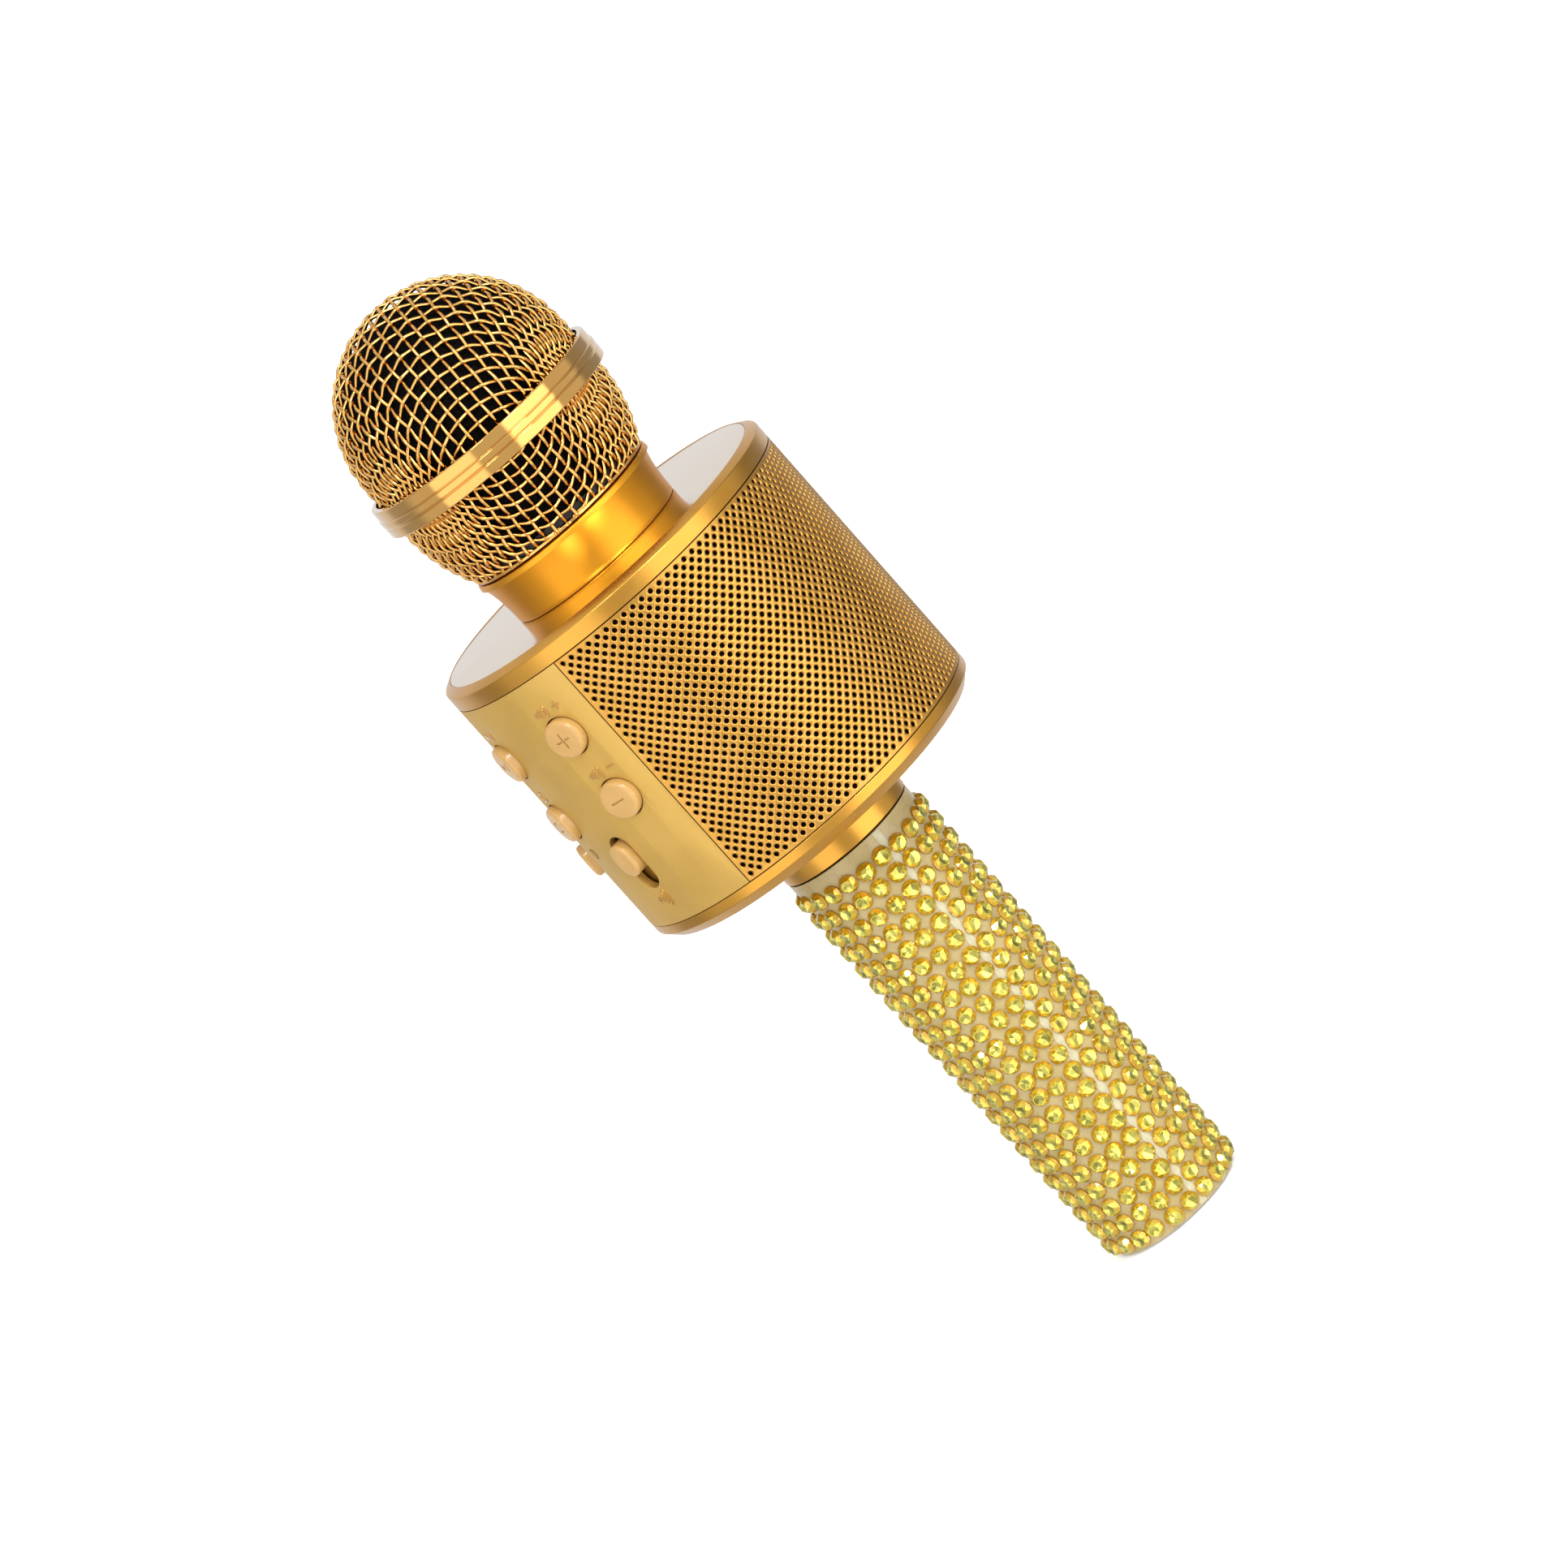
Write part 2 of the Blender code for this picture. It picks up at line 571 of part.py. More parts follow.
def make_ball():
    """Everything that turns and rises together when the head is unscrewed."""
    low = COLLAR_TOP + GAP
    seat = 205.7
    steps = 5
    heights = [low + (CUP_SHOULDER - low) * step / steps for step in range(steps + 1)]
    outer = [(cup_radius(z), z) for z in heights] + [(BALL_R, seat)]
    inner = [(r - MESH_WALL, z) for r, z in outer]
    turned("grille_lower_cup", outer + inner[::-1], "gold_mesh", ROUND_MEDIUM)

    turned("grille_dome",
           ball_dome(BALL_R - MESH_WALL, seat + GAP)[::-1] + ball_dome(BALL_R, seat + GAP),
           "gold_mesh", ROUND_MEDIUM)
    grooves = []
    for z in RING_GROOVES:
        grooves += [(RING_R, z - 0.25), (RING_R - 0.5, z), (RING_R, z + 0.25)]
    turned("grille_ring",
           [(BALL_R + GAP, RING_BOTTOM), (RING_R - 0.4, RING_BOTTOM), (RING_R, RING_BOTTOM + 0.4)]
           + grooves + [(RING_R, RING_TOP - 0.4), (RING_R - 0.4, RING_TOP), (BALL_R + GAP, RING_TOP)],
           "gold_bright", ROUND_LARGE)

    foam_r = BALL_R - MESH_WALL - GAP
    foam_wall = 3.4
    foam_low = low + 3.2
    foam_cup = [(cup_radius(z) - MESH_WALL - GAP, z) for z in heights[2:]]
    foam_outer = [(cup_radius(foam_low) - MESH_WALL - GAP, foam_low)] + foam_cup
    foam_inner = [(r - foam_wall, z) for r, z in foam_outer]
    turned("foam_windscreen",
           ball_dome(foam_r - foam_wall, seat)[::-1] + foam_inner[::-1]
           + foam_outer + ball_dome(foam_r, seat),
           "foam", ROUND_MEDIUM - 4)

    neck_bore, neck_r = 15.8, 17.3
    flange = COLLAR_TOP + 1.2
    turned("ball_thread_neck", [
        (neck_bore, 177.2), (neck_r, 177.2), (neck_r, flange), (19.6, flange),
        (19.6, flange + 0.8), (neck_bore, flange + 0.8)],
        "steel", ROUND_MEDIUM)
    turned("ball_gasket", sheet_outline(neck_r + GAP, 19.4, COLLAR_TOP + GAP, flange - GAP),
           "rubber", ROUND_MEDIUM)


def ball_dome(radius, low):
    """Straight wall from a level up to the ball's middle, then a quarter circle to the top."""
    return [(radius, low)] + arc(0, DOME_CENTRE, radius, 0, 90, 6)[:-1] + [(0, DOME_CENTRE + radius)]


# ------------------------------------------------------------------- leads

def make_leads():
    """Leads from the capsule and from the battery to the main board."""
    board_face = MAIN_BOARD_Y - MAIN_BOARD_WALL / 2 - GAP
    cable("capsule_lead",
          [(0, 0, 193.8), (0, 0, 180.0), (0, 0, 170.0), (0, 4.0, 163.0), (0, 12.0, 160.0),
           (0, board_face, 160.0)],
          0.9, "rubber")
    cable("power_lead",
          [(5.0, 0, 91.0), (5.0, 0, 100.0), (5.0, 0, 112.0), (5.0, 4.0, 119.0), (5.0, 12.0, 122.0),
           (5.0, board_face, 122.0)],
          0.9, "rubber")


def main():
    clear_scene()
    make_handle()
    make_battery()
    bottom = make_covers()
    make_speaker_grille()
    make_control_panel()
    make_buttons()
    make_sliders()
    chassis = make_chassis()
    make_drivers()
    make_boards()
    make_ports(bottom, chassis)
    make_cover_screws(bottom, chassis)
    make_collar()
    make_ball()
    make_leads()


main()
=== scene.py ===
"""Looks of the karaoke microphone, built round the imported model.

Lengths are in millimetres, turned into metres by MM as each mesh is made. A panel angle
is in degrees round Z, from -Y, where the control panel faces, towards +X.
"""

import json
import math
import random

import bmesh
import bpy
from mathutils import Matrix, Vector


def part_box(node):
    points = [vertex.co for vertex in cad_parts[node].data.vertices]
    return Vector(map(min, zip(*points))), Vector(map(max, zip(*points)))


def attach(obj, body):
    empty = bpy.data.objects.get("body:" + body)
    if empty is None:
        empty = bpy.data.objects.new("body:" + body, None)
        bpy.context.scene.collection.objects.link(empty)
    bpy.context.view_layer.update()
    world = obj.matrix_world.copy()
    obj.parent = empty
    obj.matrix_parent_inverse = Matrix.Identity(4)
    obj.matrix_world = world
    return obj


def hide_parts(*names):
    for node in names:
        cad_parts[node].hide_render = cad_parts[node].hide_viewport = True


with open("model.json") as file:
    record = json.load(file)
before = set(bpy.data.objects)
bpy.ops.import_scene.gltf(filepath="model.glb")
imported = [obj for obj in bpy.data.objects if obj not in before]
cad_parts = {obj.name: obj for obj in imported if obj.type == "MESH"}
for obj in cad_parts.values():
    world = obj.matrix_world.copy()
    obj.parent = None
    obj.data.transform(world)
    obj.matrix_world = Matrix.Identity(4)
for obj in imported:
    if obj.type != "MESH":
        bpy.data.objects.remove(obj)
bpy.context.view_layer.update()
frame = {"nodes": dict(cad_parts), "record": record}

MM = 0.001
WELD = 0.000001


def low(node):
    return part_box(node)[0].z / MM


def high(node):
    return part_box(node)[1].z / MM


def radius(node):
    """Outer radius of a node that is round about the microphone's axis."""
    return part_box(node)[1].x / MM


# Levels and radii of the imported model.
GRIP_LOW, GRIP_HIGH = low("rhinestone_sleeve"), high("rhinestone_sleeve")
STONE_R = radius("rhinestone_sleeve")
FILM_R = radius("handle_tube") + 0.3
ADAPTER_LOW = GRIP_HIGH + 0.3
ADAPTER_R = radius("handle_adapter")
DRUM_R = radius("bottom_cover")
DRUM_LOW = low("bottom_cover")
SEAM_LOW = low("control_panel") - 0.1
SEAM_HIGH = high("control_panel") + 0.1
RIM_HIGH = high("top_cover")
DISC_LOW, DISC_HIGH = low("top_disc"), high("top_disc")
COLLAR_LIP_R = radius("grille_collar")
COLLAR_HIGH = high("grille_collar")
RING_R = radius("grille_ring")
RING_LOW, RING_HIGH = low("grille_ring"), high("grille_ring")
RING_GROOVES = (205.6, 207.35)
BALL_R = radius("grille_dome")
BALL_HIGH = high("grille_dome")
DOME_CENTRE = BALL_HIGH - BALL_R

# Lower cup of the ball: half an ellipsoid that hangs from its shoulder.
CUP_SHOULDER = 202.2
CUP_REACH = 28.8

# Drum covers: sloped edge, lip behind the seams, bore under the collar, and the seams' edges.
COVER_EDGE = 2.2
LIP_INNER_R, LIP_OUTER_R = 36.6, 38.0
COVER_BORE_R = 15.5
COVER_BEVEL = 0.13
SEAM_GAP = 0.06

# Plugs of the end cap and the adapter, which fill the handle's bore.
HANDLE_BORE_R = 12.7

# Control panel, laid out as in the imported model. The last levels are distances from the axis.
PANEL_HALF_ANGLE = 46.8
GRILLE_START = 47.2
BUTTON_R = 4.2
SLOT_LENGTH, SLOT_WIDTH = 13.1, 6.0
CONTROL_LOW = 36.5
INSIDE_FLANGE = (36.9, 37.7)
CAP_TOP = -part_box("button_play")[0].y / MM
LENS_HIGH = -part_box("indicator_lens")[0].y / MM

# Punched sheet: steps between neighbouring rows and columns of the pattern, and hole size.
HOLE_COLUMNS, HOLE_ROWS = 166, 50
HOLE_R = 0.47
SKIN_WALL = 0.5

# Length of one degree of the drum's wall.
DEGREE = DRUM_R * math.radians(1)
SMOOTH_STEPS = 192


# ----------------------------------------------------------------- materials

def noise(tree, size, detail=3.0):
    """Noise whose features are about size millimetres across on the object."""
    coordinates = tree.nodes.new("ShaderNodeTexCoord")
    texture = tree.nodes.new("ShaderNodeTexNoise")
    texture.inputs["Scale"].default_value = 1 / (size * MM)
    texture.inputs["Detail"].default_value = detail
    tree.links.new(coordinates.outputs["Object"], texture.inputs["Vector"])
    return texture.outputs["Fac"]


def ramp(tree, source, first, last):
    """Blend of two colours across the middle of a noise."""
    node = tree.nodes.new("ShaderNodeValToRGB")
    for element, where, colour in zip(node.color_ramp.elements, (0.35, 0.65), (first, last)):
        element.position = where
        element.color = (*colour, 1)
    tree.links.new(source, node.inputs["Fac"])
    return node.outputs["Color"]


def spread(tree, source, first, last):
    """Maps a noise onto the range between two values."""
    node = tree.nodes.new("ShaderNodeMapRange")
    node.inputs["From Min"].default_value = 0.3
    node.inputs["From Max"].default_value = 0.7
    node.inputs["To Min"].default_value = first
    node.inputs["To Max"].default_value = last
    tree.links.new(source, node.inputs["Value"])
    return node.outputs["Result"]


def bump(tree, shader, source, depth):
    node = tree.nodes.new("ShaderNodeBump")
    node.inputs["Distance"].default_value = depth * MM
    tree.links.new(source, node.inputs["Height"])
    tree.links.new(node.outputs["Normal"], shader.inputs["Normal"])


def grained(name, dark, light, rough, metal, patch=12.0, grain=0.25, depth=0.01, coat=0.0,
            coat_rough=0.05, coat_ior=1.5, specular=0.5):
    """Material with broad colour variation, uneven gloss and a fine grain.

    rough is a pair: the roughness of the smoothest and of the roughest patches. patch and grain
    are the sizes of the variation and of the grain, and depth is the grain's.
    """
    material = bpy.data.materials.new(name)
    material.use_nodes = True
    tree = material.node_tree
    shader = tree.nodes["Principled BSDF"]
    broad = noise(tree, patch)
    fine = noise(tree, grain, 2.0)
    tree.links.new(ramp(tree, broad, dark, light), shader.inputs["Base Color"])
    tree.links.new(spread(tree, broad, *rough), shader.inputs["Roughness"])
    bump(tree, shader, fine, depth)
    shader.inputs["Metallic"].default_value = metal
    shader.inputs["Coat Weight"].default_value = coat
    shader.inputs["Coat Roughness"].default_value = coat_rough
    shader.inputs["Coat IOR"].default_value = coat_ior
    shader.inputs["Specular IOR Level"].default_value = specular
    return material


MATERIALS = {
    "plated_case": grained("satin_gold", (0.57, 0.275, 0.034), (0.63, 0.32, 0.048), (0.24, 0.30), 1.0,
                           grain=0.12, depth=0.004, coat=0.25, coat_rough=0.2),
    "speaker_grille": grained("grille_gold", (0.53, 0.27, 0.045), (0.61, 0.32, 0.065), (0.33, 0.40), 1.0,
                              patch=8.0, grain=0.10, depth=0.004, coat=0.2, coat_rough=0.15),
    "mesh": grained("wire_gold", (0.62, 0.34, 0.08), (0.77, 0.44, 0.13), (0.13, 0.20), 1.0,
                    patch=3.0, grain=0.15, depth=0.004, coat=0.3, coat_rough=0.1),
    "ring": grained("ring_gold", (0.63, 0.315, 0.03), (0.67, 0.345, 0.038), (0.05, 0.08), 1.0,
                    patch=15.0, grain=0.6, depth=0.001, coat=1.0, coat_ior=1.75),
    "collar": grained("collar_gold", (0.72, 0.315, 0.016), (0.76, 0.345, 0.022), (0.33, 0.38), 1.0,
                      grain=0.12, depth=0.003, coat=0.15, coat_rough=0.25),
    "disc": grained("disc_champagne", (0.78, 0.66, 0.54), (0.82, 0.70, 0.58), (0.10, 0.14), 1.0,
                    patch=25.0, grain=0.8, depth=0.0006),
    "panel": grained("panel_gold", (0.545, 0.335, 0.073), (0.595, 0.37, 0.087), (0.44, 0.50), 0.6,
                     grain=0.10, depth=0.006),
    "controls": grained("button_plastic", (0.46, 0.265, 0.076), (0.50, 0.29, 0.087), (0.20, 0.28), 0.0,
                        patch=4.0, grain=0.18, depth=0.010, specular=0.6),
    "black_plastic": grained("black_plastic", (0.014, 0.014, 0.015), (0.022, 0.022, 0.023),
                             (0.42, 0.58), 0.0, patch=6.0, grain=0.2, depth=0.02),
    "foam": grained("foam_cells", (0.0015, 0.0013, 0.0012), (0.006, 0.005, 0.0045), (0.9, 0.98), 0.0,
                    patch=0.8, grain=0.35, depth=0.25, specular=0.06),
    "rubber": grained("rubber", (0.018, 0.018, 0.018), (0.03, 0.03, 0.03), (0.68, 0.82), 0.0,
                      patch=5.0, grain=0.3, depth=0.02),
    "lead": grained("lead_sleeve", (0.22, 0.014, 0.014), (0.30, 0.022, 0.02), (0.45, 0.6), 0.0,
                    patch=4.0, grain=0.3, depth=0.01),
    "steel": grained("steel", (0.52, 0.52, 0.54), (0.64, 0.64, 0.66), (0.22, 0.36), 1.0,
                     patch=5.0, grain=0.15, depth=0.004),
    "ferrite": grained("ferrite", (0.05, 0.05, 0.055), (0.08, 0.08, 0.085), (0.5, 0.7), 0.2,
                       patch=3.0, grain=0.2, depth=0.02),
    "cone": grained("cone_paper", (0.03, 0.03, 0.032), (0.055, 0.055, 0.058), (0.8, 0.92), 0.0,
                    patch=1.5, grain=0.25, depth=0.03),
    "board": grained("board_mask", (0.012, 0.12, 0.04), (0.02, 0.17, 0.06), (0.3, 0.4), 0.0,
                     patch=7.0, grain=0.4, depth=0.01, coat=0.3),
    "cell": grained("cell_wrap", (0.07, 0.22, 0.45), (0.10, 0.28, 0.55), (0.26, 0.34), 0.0,
                    patch=9.0, grain=0.5, depth=0.006),
    "lens": grained("lens_plastic", (0.30, 0.18, 0.04), (0.36, 0.22, 0.06), (0.30, 0.38), 0.0,
                    patch=2.0, grain=0.3, depth=0.002, specular=0.3),
}
FILM = grained("film_vinyl", (0.37, 0.28, 0.105), (0.43, 0.33, 0.13), (0.24, 0.36), 0.0,
               patch=3.0, grain=0.6, depth=0.02, coat=0.4, coat_rough=0.15)
# The pale strip along the handle is a painted highlight: a soft light's reflection on the glossy film,
# painted ivory.
HIGHLIGHT_STRIP = grained("film_painted_highlight", (0.40, 0.36, 0.20), (0.48, 0.44, 0.27), (0.16, 0.24), 0.0,
                     patch=1.5, grain=0.5, depth=0.02, coat=0.4, coat_rough=0.1)
EDGE = grained("stone_edge", (0.52, 0.29, 0.010), (0.62, 0.38, 0.020), (0.06, 0.12), 0.5,
               patch=2.4, grain=0.8, depth=0.002, coat=1.0, coat_rough=0.03)
CROWN = grained("stone_crown", (0.57, 0.43, 0.020), (0.66, 0.53, 0.040), (0.04, 0.10), 0.8,
                patch=2.4, grain=0.8, depth=0.002, coat=1.0, coat_rough=0.02)
# Heart of each stone: the yellow of the foil seen through it, darker or brighter from stone to stone as
# painted reflection of the foil.
HEART_AND_REFLECTION = grained("stone_heart_painted_reflection", (0.30, 0.27, 0.02), (0.86, 0.76, 0.14), (0.04, 0.10), 1.0,
                patch=2.2, grain=0.8, depth=0.002, coat=1.0, coat_rough=0.02)
# Dark gold of the slider tracks and of the shutters behind the slots: painted shade of the deep slots.
SLOT_SHADE = grained("slot_painted_shade", (0.28, 0.14, 0.018), (0.34, 0.18, 0.028), (0.25, 0.35), 0.6,
                patch=3.0, grain=0.2, depth=0.01)
CLOTH = grained("black_cloth", (0.004, 0.004, 0.004), (0.008, 0.0075, 0.007), (0.9, 0.97), 0.0,
                patch=2.0, grain=0.4, depth=0.05, specular=0.1)


# -------------------------------------------------------------- mesh helpers

def shade(mesh, sharp=32):
    """Smooth shading, but for edges sharper than an angle in degrees."""
    mesh.shade_smooth()
    mesh.set_sharp_from_angle(angle=math.radians(sharp))


def new_object(name, bm, materials, sharp):
    """Object from an edit mesh, which is freed."""
    mesh = bpy.data.meshes.new(name)
    bm.to_mesh(mesh)
    bm.free()
    shade(mesh, sharp)
    for material in materials:
        mesh.materials.append(material)
    obj = bpy.data.objects.new(name, mesh)
    bpy.context.scene.collection.objects.link(obj)
    return obj


def finish_mesh(name, bm, materials, sharp=32):
    """Object from an edit mesh, welded, facing out and smooth on its round faces."""
    bmesh.ops.remove_doubles(bm, verts=bm.verts, dist=WELD)
    bmesh.ops.recalc_face_normals(bm, faces=bm.faces)
    return new_object(name, bm, materials, sharp)


def place(obj, body, slot, *nodes):
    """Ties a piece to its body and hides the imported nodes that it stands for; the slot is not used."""
    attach(obj, body)
    if nodes:
        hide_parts(*nodes)
    return obj


def rounded(corners, steps=6):
    """Closed outline of (radius, height, fillet) corners, with each fillet as an arc."""
    outline = []
    for i, (r, z, fillet) in enumerate(corners):
        here = Vector((r, z))
        if not fillet:
            outline.append(tuple(here))
            continue
        before = (Vector(corners[i - 1][:2]) - here).normalized()
        after = (Vector(corners[(i + 1) % len(corners)][:2]) - here).normalized()
        half = before.angle(after) / 2
        centre = here + (before + after).normalized() * (fillet / math.sin(half))
        reach = fillet / math.tan(half)
        start = here + before * reach - centre
        end = here + after * reach - centre
        first = math.atan2(start.y, start.x)
        sweep = math.remainder(math.atan2(end.y, end.x) - first, 2 * math.pi)
        for step in range(steps + 1):
            turn = first + sweep * step / steps
            outline.append((centre.x + fillet * math.cos(turn), centre.y + fillet * math.sin(turn)))
    return outline


def turned(name, outline, material, steps=SMOOTH_STEPS, sharp=32):
    """Closed outline of (radius, height) points turned once round Z."""
    bm = bmesh.new()
    points = [bm.verts.new((r * MM, 0, z * MM)) for r, z in outline]
    edges = [bm.edges.new((points[i - 1], points[i])) for i in range(len(points))
             if outline[i - 1][0] > 0 or outline[i][0] > 0]
    bmesh.ops.spin(bm, geom=points + edges, axis=(0, 0, 1), cent=(0, 0, 0),
                   angle=2 * math.pi, steps=steps, use_merge=True)
    return finish_mesh(name, bm, [material], sharp)


def loft(name, rows, material, sharp=32, caps=True):
    """Closed body through rows of points, with flat ends, or round to the first row without caps."""
    bm = bmesh.new()
    levels = [[bm.verts.new(Vector(point) * MM) for point in row] for row in rows]
    for lower, upper in zip(levels, levels[1:]):
        for i in range(len(lower)):
            j = (i + 1) % len(lower)
            bm.faces.new((lower[i], lower[j], upper[j], upper[i]))
    if caps:
        bm.faces.new(levels[0])
        bm.faces.new(levels[-1])
    return finish_mesh(name, bm, [material], sharp)


def block(name, size, centre, material=None):
    corners = ((-1, -1), (1, -1), (1, 1), (-1, 1))
    rows = [[(centre[0] + x * size[0] / 2, centre[1] + y * size[1] / 2, centre[2] + z * size[2] / 2)
             for x, y in corners] for z in (-1, 1)]
    return loft(name, rows, material)


def stadium(length, width, height, steps=16):
    """Points of a slot shape whose long side runs along local Y."""
    points = []
    for end, start in ((1, 0), (-1, 180)):
        for step in range(steps + 1):
            turn = math.radians(start + 180 * step / steps)
            points.append((width / 2 * math.cos(turn),
                           end * (length - width) / 2 + width / 2 * math.sin(turn), height))
    return points


def baked(obj):
    """The object with its modifiers applied."""
    evaluated = obj.evaluated_get(bpy.context.evaluated_depsgraph_get())
    mesh = bpy.data.meshes.new_from_object(evaluated)
    obj.modifiers.clear()
    obj.data = mesh
    return obj


def carve(obj, tools):
    """Cuts each tool out of the object."""
    for tool in tools:
        modifier = obj.modifiers.new(tool.name, "BOOLEAN")
        modifier.operation = "DIFFERENCE"
        modifier.object = tool
        modifier.solver = "EXACT"
    baked(obj)
    for tool in tools:
        bpy.data.objects.remove(tool, do_unlink=True)
    shade(obj.data)
    return obj


def soften(obj, width, segments):
    """Bevels the object's edges."""
    bevel = obj.modifiers.new("edges", "BEVEL")
    bevel.width = width * MM
    bevel.segments = segments
    bevel.limit_method = "ANGLE"
    bevel.angle_limit = math.radians(40)
    return baked(obj)


def on_circle(r, step, steps, z):
    turn = 2 * math.pi * step / steps
    return r * math.cos(turn), r * math.sin(turn), z


def looking_out(angle, height):
    """Turn and move from local axes, Z out of the drum and Y up it, to a panel angle and a height."""
    turn = math.radians(angle)
    return Matrix.Translation((0, 0, height * MM)) @ Matrix((
        (math.cos(turn), 0, math.sin(turn), 0),
        (math.sin(turn), 0, -math.cos(turn), 0),
        (0, 1, 0, 0),
        (0, 0, 0, 1)))


def face_out(obj, angle, height):
    obj.data.transform(looking_out(angle, height))
    return obj


# --------------------------------------------------------------- woven mesh

WIRE_R = 0.36
WEAVE_ANGLE = 76.0


class Bowl:
    """Half an ellipsoid about the axis, carried on past its rim as a straight wall."""

    def __init__(self, rim, reach, centre, side):
        self.rim, self.reach, self.centre, self.side = rim, reach, centre, side

    def project(self, point):
        depth = max(self.side * (point.z - self.centre), 0.0)
        size = math.hypot(math.hypot(point.x, point.y) / self.rim, depth / self.reach)
        z = self.centre + self.side * depth / size if depth else point.z
        return Vector((point.x / size, point.y / size, z))

    def normal(self, point):
        depth = max(self.side * (point.z - self.centre), 0.0)
        slope = Vector((point.x / self.rim ** 2, point.y / self.rim ** 2,
                        self.side * depth / self.reach ** 2))
        return slope.normalized()

    def pole(self):
        return Vector((0, 0, self.centre + self.side * self.reach))


def settle(bowl, anchors, guess, pitch):
    """Point of the bowl that is one pitch from each anchor."""
    point = guess.copy()
    for _ in range(160):
        for anchor in anchors:
            offset = point - anchor
            point = anchor + offset * (pitch / offset.length)
        point = bowl.project(point)
    return point


def crossings(bowl, pitch, lowest, highest):
    """Crossings of a square net pressed over the bowl, by their column and row.

    The two wires through the pole run straight down, and every other crossing is one pitch
    from its two neighbours, as in cloth whose threads don't stretch.
    """
    count = 20
    corner = {(0, 0): bowl.pole()}
    for i in range(1, count):
        before = corner[i - 1, 0]
        ahead = before - corner[i - 2, 0] if i > 1 else Vector((pitch, 0, 0))
        corner[i, 0] = settle(bowl, [before], before + ahead, pitch)
        corner[0, i] = Vector((corner[i, 0].y, corner[i, 0].x, corner[i, 0].z))
    for i in range(1, count):
        for j in range(1, count):
            sides = [corner.get((i - 1, j)), corner.get((i, j - 1))]
            if None in sides or (sides[0] - sides[1]).length > 1.95 * pitch:
                continue
            guess = sides[0] + sides[1] - corner[i - 1, j - 1]
            corner[i, j] = settle(bowl, sides, guess, pitch)
    net = {}
    margin = 1.5 * pitch
    for (i, j), point in corner.items():
        if lowest - margin < point.z < highest + margin:
            for x in (1, -1):
                for y in (1, -1):
                    net[i * x, j * y] = Vector((point.x * x, point.y * y, point.z))
    return net


def smooth_route(points, per_span):
    """Catmull-Rom curve through the points."""
    route = []
    padded = [2 * points[0] - points[1]] + points + [2 * points[-1] - points[-2]]
    for span in range(len(points) - 1):
        a, b, c, d = padded[span:span + 4]
        for step in range(per_span):
            t = step / per_span
            route.append(0.5 * (2 * b + (c - a) * t + (2 * a - 5 * b + 4 * c - d) * t ** 2
                                + (3 * b - a - 3 * c + d) * t ** 3))
    return route + [points[-1]]


def trimmed(route, lowest, highest):
    """The runs of a route between two heights, each cut off exactly at them."""
    runs, run = [], []
    for before, after in zip(route, route[1:]):
        inside = [lowest <= p.z <= highest for p in (before, after)]
        if inside[0] and not run:
            run.append(before)
        if inside[0] != inside[1]:
            outside = after if inside[0] else before
            edge = lowest if outside.z < lowest else highest
            run.append(before.lerp(after, (edge - before.z) / (after.z - before.z)))
        if inside[1]:
            run.append(after)
        elif run:
            runs.append(run)
            run = []
    if run:
        runs.append(run)
    return [run for run in runs if len(run) > 3]


def add_wire(bm, route, bowl, sides=8):
    """Round wire along the route, capped at both ends."""
    rings = []
    for i, point in enumerate(route):
        along = (route[min(i + 1, len(route) - 1)] - route[max(i - 1, 0)]).normalized()
        across = along.cross(bowl.normal(point)).normalized()
        out = across.cross(along)
        rings.append([bm.verts.new((point + WIRE_R * (math.cos(turn) * out + math.sin(turn) * across)) * MM)
                      for turn in [2 * math.pi * k / sides for k in range(sides)]])
    for lower, upper in zip(rings, rings[1:]):
        for k in range(sides):
            bm.faces.new((lower[k], lower[k - 1], upper[k - 1], upper[k]))
    bm.faces.new(rings[0])
    bm.faces.new(rings[-1][::-1])


def woven(name, bowl, pitch, lowest, highest):
    """Plain weave of two sets of wires over a bowl, between two heights."""
    net = crossings(bowl, pitch, lowest, highest)
    turn = Matrix.Rotation(math.radians(WEAVE_ANGLE - 90), 3, "Z")
    reach = max(i for i, _ in net)
    bm = bmesh.new()
    for family in (0, 1):
        for line in range(-reach, reach + 1):
            keys = [(k, line) if family == 0 else (line, k) for k in range(-reach, reach + 1)]
            stretch = []
            for key in keys + [None]:
                if key in net:
                    side = 1 if (key[0] + key[1] + family) % 2 else -1
                    stretch.append(net[key] + bowl.normal(net[key]) * side * WIRE_R)
                    continue
                if len(stretch) > 1:
                    for run in trimmed(smooth_route(stretch, 5), lowest, highest):
                        add_wire(bm, [turn @ point for point in run], bowl)
                stretch = []
    return new_object(name, bm, [MATERIALS["mesh"]], 60)


def threaded_neck(lowest, highest):
    """Neck with a rounded screw thread of 2 mm pitch and a flange at the top."""
    steps, levels = 96, 40
    bore, crest, depth, pitch = 15.8, 17.3, 0.7, 2.0
    flange, flange_r, chamfer = highest - 0.8, 19.6, 0.2
    rows = []
    for k in range(levels + 1):
        z = lowest + (flange - chamfer - lowest) * k / levels
        fade = min(1.0, k / 4, (levels - k) / 4)
        row = []
        for step in range(steps):
            phase = 2 * math.pi * (z / pitch - step / steps)
            r = crest - depth * (1 - fade) - depth * fade * (0.5 + 0.5 * math.cos(phase)) ** 1.5
            row.append(on_circle(r, step, steps, z))
        rows.append(row)
    for r, z in ((crest - depth, flange), (flange_r - chamfer, flange), (flange_r, flange + chamfer),
                 (flange_r, highest - chamfer), (flange_r - chamfer, highest), (bore, highest),
                 (bore, lowest)):
        rows.append([on_circle(r, step, steps, z) for step in range(steps)])
    return loft("neck_thread", rows + rows[:1], MATERIALS["steel"], caps=False)


